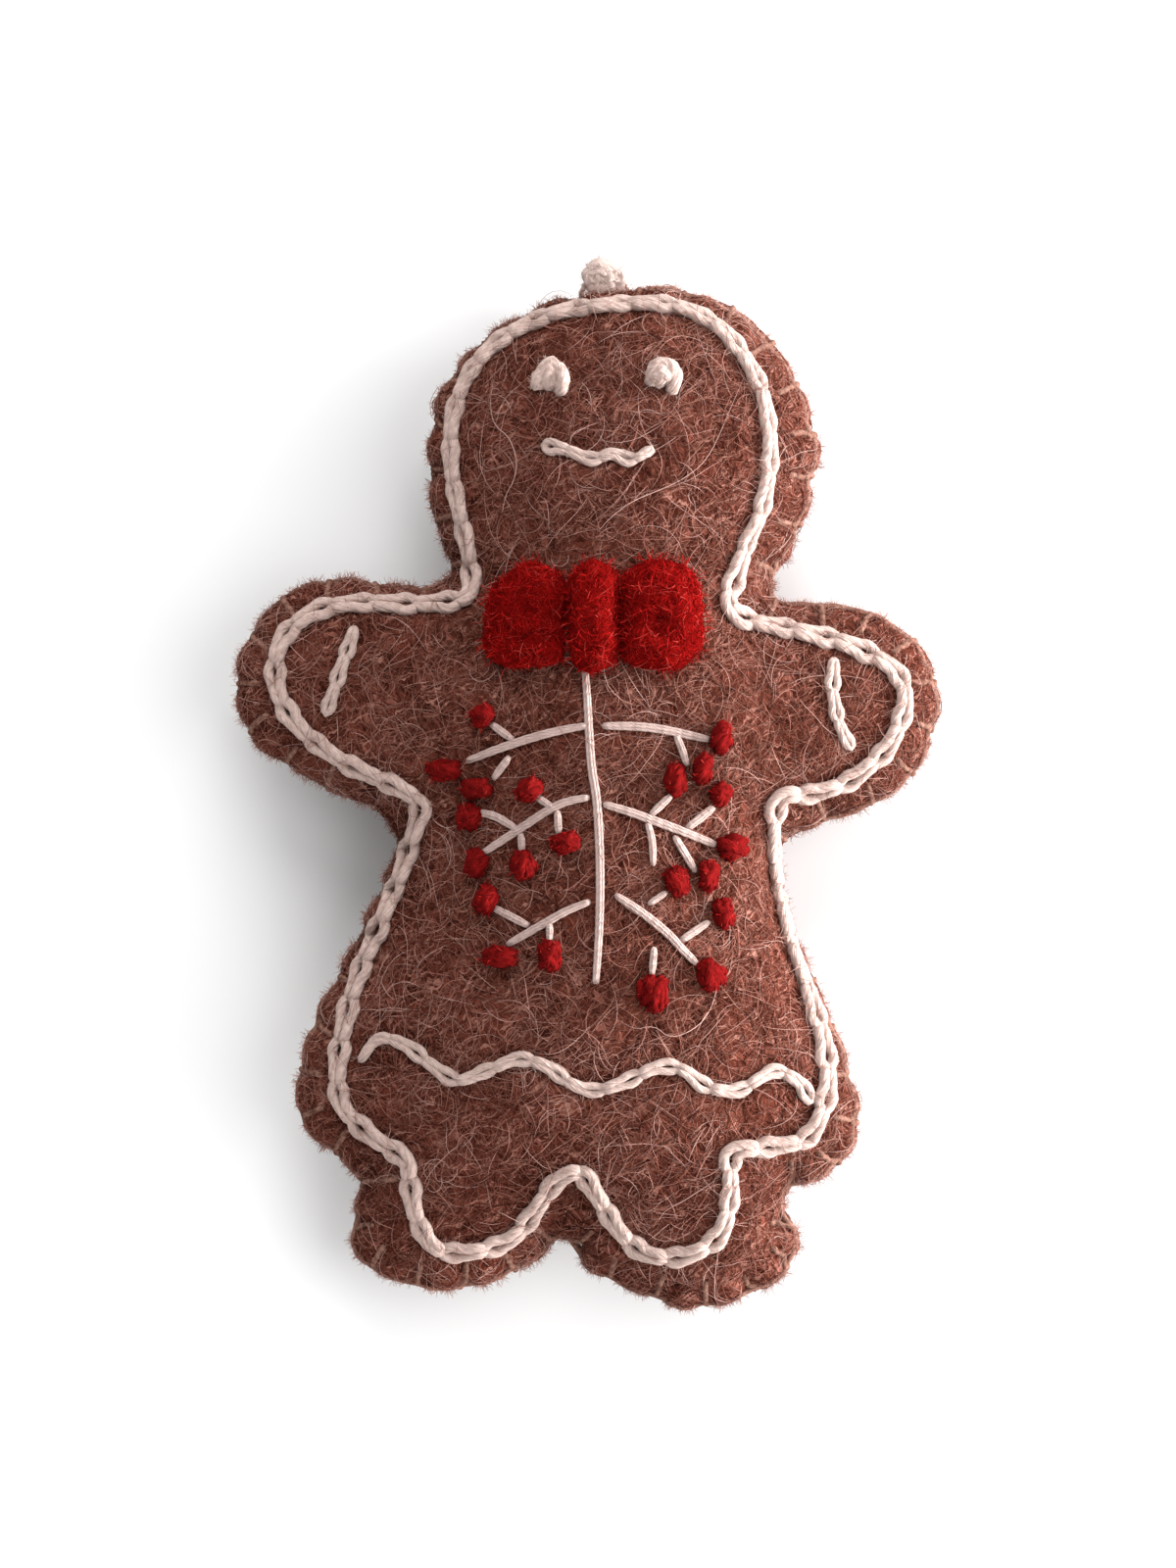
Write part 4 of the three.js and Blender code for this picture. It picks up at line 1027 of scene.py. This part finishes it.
eye_fuzz = []
for node, turns in EYES.items():
    eye_lines = []
    for turn in turns:
        places = [on_felt(on_pattern(x, y), height * MM) for x, y, height in turn]
        eye_lines.append(smooth_line(places, 0.3 * MM))
    eye = twisted_yarn(node + "_yarn", eye_lines, EYE_YARN, plies=6, lay=7 * MM, groove=0.09)
    last = turns[-1]
    eye_x = sum(place[0] for place in last) / len(last)
    eye_y = sum(place[1] for place in last) / len(last)
    up, *core_sizes = EYE_CORES[node]
    add_core(eye, felt_top(on_pattern(eye_x, eye_y + up))[0], *core_sizes)
    roughen(eye, 0.7 * MM, 0.22 * MM)
    eye.data.materials.append(cream_yarn)
    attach(eye, "ornament")
    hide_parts(node)
    eye_fuzz += fuzz_of(eye, 260, chance, (0.9, 0.5), (0.4, 0.9), 0.35)
eye_tints = [chance.random() for _ in eye_fuzz]
eye_fibres = loose_fibres("eye_fibres", eye_fuzz, eye_tints, 0.05 * MM, cream_hair)

# Bow: two folded loops and a knot between them, pads of red wool felted soft and sewn on under the chin, with
# loose red fibres all over and a few pale ones caught in them.
BOW_VOXEL = 0.5 * MM
BOW_SWELL = 0.38 * MM
# How much the upper half of each pad has settled
BOW_SETTLE = {"bow_left_loop": 0.1, "bow_knot": 0.17, "bow_right_loop": 0.1}
# Folds pressed into the wool: ends on the pattern, half width and depth, all in millimetres
BOW_FOLDS = [
    ((-9.8, 15.2), (-2.6, 14.7), 0.8, 0.7), ((3.4, 16.1), (7, 15.7), 0.7, 0.45),
    ((7.2, 16.7), (7.3, 17), 0.45, 0.8), ((-1.6, 13.7), (2.4, 13.5), 0.6, 0.5),
    ((7.4, 15.4), (11, 14.2), 0.9, 0.45), ((-6.2, 17.6), (-4, 17), 1.2, 0.4),
    ((-9, 20.6), (-4, 21.4), 0.7, 0.3), ((4.6, 20.6), (9.8, 20.9), 0.8, 0.35),
]
BOW_FIBRES = {"bow_left_loop": 2800, "bow_knot": 1700, "bow_right_loop": 2800}


def to_segment(place, start, end):
    """How far a place on the plan is from a straight line between two others."""
    along = end - start
    share = min(max((place - start).dot(along) / max(along.length_squared, 1e-12), 0), 1)
    return (place - start - along * share).length


# its shade and lit tones are painted shade and light on the red wool
wool_red = thread_finish("red_wool", (0.07, 0.0015, 0.001), (0.2, 0.004, 0.003), 1.2 * MM, 1, 0)
RED_TONES = [(0.09, 0.0015, 0.001), (0.19, 0.003, 0.0025), (0.36, 0.007, 0.006), (0.55, 0.07, 0.055)]
red_hair = fibre_finish("red_hair", RED_TONES)
bow_middle = on_pattern(0, 17).y
folds = []
for start, end, half, depth in BOW_FOLDS:
    folds.append((on_pattern(*start), on_pattern(*end), half * MM, depth * MM))
for seed, (node, count) in enumerate(BOW_FIBRES.items(), 51):
    pad = skin_of(node + "_wool", [node], BOW_VOXEL)
    soften = pad.modifiers.new("soften", "SMOOTH")
    soften.iterations = 5
    apply_modifiers(pad)
    pad.data.shade_smooth()
    lumps = random.Random(seed)
    waves = [(lumps.uniform(0.6, 1.6), lumps.uniform(0.6, 1.6), lumps.uniform(0, 6.28)) for _ in range(5)]
    normals = [corner.normal.copy() for corner in pad.data.vertices]
    for corner, normal in zip(pad.data.vertices, normals):
        plan = Vector((corner.co.x, corner.co.y, 0))
        lump = sum(math.sin((plan.x * a + plan.y * b) / MM + c) for a, b, c in waves) / len(waves)
        move = BOW_SWELL + 0.22 * MM * lump
        for start, end, half, depth in folds:
            move -= depth * math.exp(-((to_segment(plan, start, end) / half) ** 2)) * max(normal.z, 0)
        corner.co += normal * move
        corner.co.y -= BOW_SETTLE[node] * max(0, corner.co.y - bow_middle)
    pad.data.update()
    pad.data.materials.append(wool_red)
    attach(pad, "ornament")
    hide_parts(node)
    surface = tree_over(pad.data)
    upper = [face for face in pad.data.polygons if face.normal.z > -0.3]
    chance = random.Random(seed + 100)
    lines = []
    for face in chance.choices(upper, [face.area for face in upper], k=count):
        length = chance.uniform(1.2, 3.2) * MM
        if chance.random() < 0.74:
            lift = 0.12 * MM * abs(chance.gauss(0, 1))
            lines.append(lying_fibre(surface, face.center, face.normal, length, 0.35, lift, chance))
        else:
            lean = Vector((chance.gauss(0, 0.8), chance.gauss(0, 0.8), chance.gauss(0, 0.4)))
            lines.append(standing_fibre(face.center, face.normal + lean, length * 0.6, 0.25, chance))
    tints = [min(1, abs(chance.gauss(0.42, 0.2))) for _ in lines]
    fuzz = loose_fibres(node + "_fibres", lines, tints, 0.085 * MM, red_hair)

# Sprig: straight stitches of three fine cream strands side by side, drawn through the felt at both ends. A
# stem hangs from the bow, with branches to each side of it and short twigs between the branches and the
# berries.
STRAND = 0.4 * MM
# Places along each stitch on the pattern, in millimetres, with its spread from the middle strand
SPRIG = {
    "sprig_stem": (
        [(-0.3, 11.6), (-0.1, 9), (0.3, 2.3), (0.9, -2), (1.2, -8), (1.15, -14), (0.8, -20)], 0.27,
    ),
    "branch_1": ([(-0.3, 5.9), (-3, 5.4), (-6, 4.6), (-9, 3.6), (-12.1, 2.4)], 0.26),
    "branch_2": ([(1.7, 5.9), (4.8, 5.85), (7.8, 5.5), (12.1, 4.55)], 0.27),
    "branch_3": ([(-0.1, -1.4), (-1.8, -1.7), (-3.8, -2.5), (-7, -4.6), (-10.5, -6.9)], 0.25),
    "branch_4": ([(1.8, -2.1), (4, -2.75), (6.4, -3.6), (9.6, -4.8), (12.8, -6.1)], 0.27),
    "branch_5": ([(0, -12), (-2, -12.8), (-4.2, -14), (-8, -16.2)], 0.24),
    "branch_6": ([(3, -11.4), (5.4, -13), (8, -15.1), (9.6, -16.8), (10.9, -18.1)], 0.26),
    "twig_1": ([(-9.7, 6), (-7.8, 4.6)], 0.22),
    "twig_2": ([(-8.1, 2.6), (-9.5, 0.7)], 0.22),
    "twig_3": ([(9, 4.8), (9.5, 3.6), (10, 2.1)], 0.22),
    "twig_4": ([(-11, -2.9), (-9.4, -3.3), (-7.5, -4.4)], 0.24),
    "twig_5": ([(-5.1, -1.4), (-3.7, -2.3)], 0.2),
    "twig_6": ([(-3.1, -2.9), (-3, -4.9)], 0.22),
    "twig_7": ([(-6.8, -5.2), (-6.7, -6.8)], 0.22),
    "twig_8": ([(8.3, -1.3), (6.5, -3)], 0.22),
    "twig_9": ([(12.6, -2.5), (10.2, -4.4)], 0.25),
    "twig_10": ([(6.1, -4.1), (6.5, -5.8), (6.6, -8)], 0.2),
    "twig_11": ([(8.9, -5.5), (9.8, -7), (10.8, -8.7)], 0.22),
    "twig_12": ([(-9.5, -12.6), (-6.2, -14.3)], 0.24),
    "twig_13": ([(-3.9, -14.3), (-3.9, -15.8)], 0.2),
    "twig_14": ([(7.8, -11.1), (6.3, -12.1)], 0.16),
    "twig_15": ([(12.1, -14.1), (9.6, -15.8)], 0.23),
    "twig_16": ([(6.7, -16.8), (6.5, -19.2)], 0.2),
}
# its shade and lit tones are painted shade and light: grooves between the strands darker, ridges lighter
sprig_cream = thread_finish(
    "cream_strand", (0.3, 0.21, 0.187), (0.44, 0.325, 0.295), 0.4 * MM, 0.9, 0, (12, 6),
)
for seed, (node, (places, spread)) in enumerate(SPRIG.items(), 61):
    chance = random.Random(seed)
    middle = smooth_line([on_pattern(*place) for place in places], 0.5 * MM)
    strands = []
    for beside in (-1, 0, 1):
        line = []
        for k, place in enumerate(middle):
            heading = middle[min(k + 1, len(middle) - 1)] - middle[max(k - 1, 0)]
            side = Vector((-heading.y, heading.x, 0)).normalized()
            share = k / (len(middle) - 1)
            draw = 0.55 + 0.45 * math.sin(math.pi * share) ** 0.4
            rise = 0.75 if beside else 0.95
            line.append(on_felt(place + side * beside * spread * MM * draw, STRAND * rise))
        lead = (line[0] - line[1]).normalized()
        tail = (line[-1] - line[-2]).normalized()
        drop = Vector((0, 0, -2 * STRAND))
        line = [line[0] + lead * chance.uniform(0.1, 0.35) * MM + drop, *line]
        line.append(line[-1] + tail * chance.uniform(0.1, 0.35) * MM + drop)
        strands.append(smooth_line(line, 0.3 * MM))
    stitch = twisted_yarn(node + "_strands", strands, STRAND, plies=2, lay=2.4 * MM, groove=0.15)
    stitch.data.materials.append(sprig_cream)
    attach(stitch, "ornament")
    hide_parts(node)

# Berries: knots of red wool thread at the ends of the sprig's stitches. Each is a few turns drawn down on the
# felt over a small padding, with the last turns across the others.
BERRY_YARN = 0.92 * MM
# Middle on the pattern, half width and half height in millimetres, and the turns' slant in degrees
BERRIES = [
    (-14.6, 1.5, 1.75, 1.3, 20), (-10.8, 7, 1.3, 1.3, 40), (-11.3, -0.4, 1.65, 1.2, 5),
    (13.5, 4.7, 1.25, 1.65, 85), (11.6, 1.6, 1.2, 1.65, 80), (-11.4, -8, 1.35, 1.45, 70),
    (-12.2, -3.3, 1.5, 1.4, 75), (-6, -0.5, 1.45, 1.35, 35), (-2.3, -5.9, 1.5, 1.3, 25),
    (-6.7, -8.2, 1.6, 1.5, 110), (14.7, -6.3, 1.6, 1.6, 20), (8.8, 0.4, 1.4, 1.65, 115),
    (13.5, -1, 1.15, 1.3, 30), (9, -9.9, 1.5, 1.55, 100), (12.25, -9.3, 1.25, 1.6, 70),
    (-8.9, -17.6, 1.8, 1.3, 155), (-10.4, -11.7, 1.4, 1.5, 60), (-3.9, -17.4, 1.4, 1.65, 95),
    (12.35, -19.4, 1.7, 1.65, 140), (13.7, -13.2, 1.3, 1.6, 115), (6.75, -21.2, 1.6, 1.9, 80),
]


def wound_lines(place, half_width, half_height, rise, slant, turns, yarn, seed):
    """Lines of yarn wound over a lump on the front, beside one another and with the last two across them."""
    chance = random.Random(seed)
    middle = on_pattern(*place)
    along = Vector((math.cos(math.radians(slant)), math.sin(math.radians(slant)), 0))
    across = Vector((-along.y, along.x, 0))
    lines = []
    for k in range(turns):
        beside = (k + 0.5) / turns * 1.7 - 0.85
        swing = chance.gauss(0, 0.2)
        over = 0
        if turns > 3 and k >= turns - 2:
            beside = chance.uniform(-0.25, 0.25)
            swing = chance.choice((-1, 1)) * chance.uniform(0.4, 0.9)
            over = 0.3 * yarn
        reach = math.sqrt(1 - beside ** 2)
        line = []
        for step in range(9):
            share = (step - 4) / 4 * 1.04
            ahead = share * reach
            offset = along * (ahead * math.cos(swing) - beside * math.sin(swing))
            offset += across * (ahead * math.sin(swing) + beside * math.cos(swing))
            spot = middle + Vector((
                offset.x * max(1.15 * half_width * MM - yarn / 2, 0.2 * MM),
                offset.y * max(1.15 * half_height * MM - yarn / 2, 0.2 * MM), 0,
            ))
            dome = math.sqrt(max(0, 1 - share ** 2)) * math.sqrt(max(0, 1 - beside ** 2))
            line.append(on_felt(spot, (rise - yarn / 2) * dome + over * dome - 0.25 * yarn))
        lines.append(smooth_line(line, 0.3 * MM))
    return lines


# its shade and lit tones are painted shade and light: grooves between the strands darker, ridges lighter
red_yarn = thread_finish(
    "red_yarn", (0.04, 0.001, 0.001), (0.155, 0.0045, 0.0045), 0.55 * MM, 0.95, 0, (4, 9),
)
berry_fuzz = []
for k, (x, y, half_width, half_height, slant) in enumerate(BERRIES):
    largest = k == len(BERRIES) - 1  # it stands higher, and has two more turns at its left
    rise = 2.3 * MM if largest else 2 * MM
    lines = wound_lines((x, y), half_width, half_height, rise, slant, 6, BERRY_YARN, 101 + k)
    if largest:
        lines += wound_lines((x - 1.25, y + 0.3), 0.8, 1.1, 1.6 * MM, 70, 2, BERRY_YARN, 131)
    berry = twisted_yarn(f"berry_{k + 1}_yarn", lines, BERRY_YARN, plies=3, lay=3.2 * MM, groove=0.28)
    add_core(berry, felt_top(on_pattern(x, y))[0], half_width * 0.86, half_height * 0.86, rise * 0.85)
    berry.data.materials.append(red_yarn)
    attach(berry, "ornament")
    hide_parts(f"berry_{k + 1}")
    berry_fuzz += fuzz_of(berry, 110, random.Random(151 + k), (1, 0.4), (0.4, 1.1), 0.25)
berry_tints = [random.Random(181 + i).uniform(0.3, 0.88) for i in range(len(berry_fuzz))]
berry_fibres = loose_fibres("berry_fibres", berry_fuzz, berry_tints, 0.06 * MM, red_hair)

# Hanger's knot: cream yarn wound over the rim at the top of the head into a fuzzy lump. Its last turns run
# down behind the head as a shank, and end in the eye that holds the hanging loop.
HANGER_YARN = 1.5 * MM
EYE_RING = 0.95 * MM
SHANK_YARN = 0.62 * MM
knot_low, knot_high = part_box("hanger_knot")
lump_middle = Vector(((knot_low.x + knot_high.x) / 2, 0, 0))
lump_middle.y = knot_high.y - 1.9 * MM
lump_middle.z = knot_high.z - 1.4 * MM
# How tall and wide each turn of the lump is, its level and how far aside it lies, in millimetres
LUMP_TURNS = [
    (1.2, 1.5, -0.6, -0.05), (1.4, 1.3, 0.05, -0.25), (1.3, 0.8, 0.5, -0.7), (0.7, 0.9, 0.5, 0.65),
    (0.5, 0.8, 0.8, -0.2), (-0.2, 1.4, 0.7, -0.1),
]
lump_lines = []
for tall, wide, level, aside in LUMP_TURNS:
    arch = []
    for step in range(9):
        angle = math.pi * (step / 8 * 1.2 - 0.1)
        place = lump_middle + Vector((aside - wide * math.cos(angle), 0, level)) * MM
        place.y += (tall * math.sin(angle) - 0.35) * MM
        arch.append(place)
    tucked = Vector((0.55 * wide, -1.3, -0.7)) * MM
    arch = [arch[0] + tucked, *arch, arch[-1] + Vector((-tucked.x, tucked.y, tucked.z))]
    lump_lines.append(smooth_line(arch, 0.3 * MM))
shank_top = Vector((hinge.x, hinge.y, lump_middle.z - 0.3 * MM))
SHANK_REACH = 0.33 * MM
eye_lines = []
for side in (-1, 1):
    shank = []
    for step in range(13):
        share = step / 12
        turn = 2 * math.pi * share + (0 if side > 0 else math.pi)
        place = shank_top.lerp(Vector((hinge.x, hinge.y, hinge.z + EYE_RING)), share)
        shank.append(place + Vector((SHANK_REACH * math.cos(turn), SHANK_REACH * math.sin(turn), 0)))
    eye_lines.append(smooth_line(shank, 0.3 * MM))
ring = []
for step in range(25):
    angle = 2 * math.pi * step / 24
    ring.append(hinge + Vector((0, math.sin(angle), math.cos(angle))) * EYE_RING)
eye_lines.append(ring)
hanger_knot = twisted_yarn("hanger_knot_yarn", lump_lines, HANGER_YARN, plies=4, lay=5 * MM, groove=0.14)
hanger_ring = twisted_yarn("hanger_eye_yarn", eye_lines, SHANK_YARN, plies=3, lay=2 * MM, groove=0.16)
add_core(hanger_knot, lump_middle - Vector((0.2, 0.45, 0)) * MM, 1.9, 2, 1.35 * MM)
roughen(hanger_knot, 1.2 * MM, 0.3 * MM)
# a lighter copy of the cream yarn: painted light that lifts the knot's shaded lower side, with painted shade
# and light in its own shade and lit tones
lit_cream_yarn = thread_finish("lit_cream_yarn", (0.4, 0.3, 0.265), (0.58, 0.45, 0.41), 0.5 * MM, 0.95, 0, (9, 18))
for piece in (hanger_knot, hanger_ring):
    piece.data.materials.append(lit_cream_yarn)
    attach(piece, "ornament")
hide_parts("hanger_knot")
chance = random.Random(201)
hanger_fuzz = fuzz_of(hanger_knot, 1200, chance, (0.9, 0.6), (0.4, 1.2), 0.35)
hanger_tints = [chance.random() for _ in hanger_fuzz]
hanger_fibres = loose_fibres("hanger_fibres", hanger_fuzz, hanger_tints, 0.06 * MM, cream_hair)

# Table and light: a white table, lit from the right by a wide low light like a window. A higher light on that
# side, weak ones from the head, the feet and the far left, and an even sky keep the shadows soft. The table
# also glows faintly, painted light that lifts its shadows.
TABLE_SIZE = 3
bpy.ops.mesh.primitive_plane_add(size=TABLE_SIZE)
table = bpy.context.object
table.name = "table"
table_finish, _, _, table_shader = new_finish("white_table", 1, 0)
table_shader.inputs["Base Color"].default_value = (0.71, 0.71, 0.71, 1)
# painted light: a faint glow of the table itself that lifts the shadows on it
table_shader.inputs["Emission Color"].default_value = (1, 1, 1, 1)
table_shader.inputs["Emission Strength"].default_value = 0.05
table.data.materials.append(table_finish)
# Each light's direction and height in degrees, its width and height as seen from the ornament, and its power
LIGHTS = {
    "low_right": (0, 8, 70, 10, 40.5), "high_right": (0, 55, 50, 50, 4.5), "head_side": (90, 35, 40, 40, 7),
    "far_left": (135, 35, 40, 40, 1.9), "feet_side": (-90, 20, 50, 25, 4.7),
}
LIGHT_DISTANCE = 0.9
for name, (azimuth, elevation, width, height, power) in LIGHTS.items():
    light_data = bpy.data.lights.new(name, "AREA")
    light_data.shape = "ELLIPSE"
    light_data.size = 2 * LIGHT_DISTANCE * math.tan(math.radians(width / 2))
    light_data.size_y = 2 * LIGHT_DISTANCE * math.tan(math.radians(height / 2))
    light_data.energy = power
    light = bpy.data.objects.new(name, light_data)
    turn = math.radians(azimuth)
    tilt = math.radians(elevation)
    toward = Vector((math.cos(turn) * math.cos(tilt), math.sin(turn) * math.cos(tilt), math.sin(tilt)))
    light.location = toward * LIGHT_DISTANCE
    light.rotation_euler = (-toward).to_track_quat("-Z", "Y").to_euler()
    bpy.context.scene.collection.objects.link(light)
world = bpy.data.worlds.new("studio")
world.use_nodes = True
world.node_tree.nodes["Background"].inputs["Color"].default_value = (1, 1, 1, 1)
world.node_tree.nodes["Background"].inputs["Strength"].default_value = 0.35
bpy.context.scene.world = world
bpy.context.scene.view_settings.view_transform = "Standard"
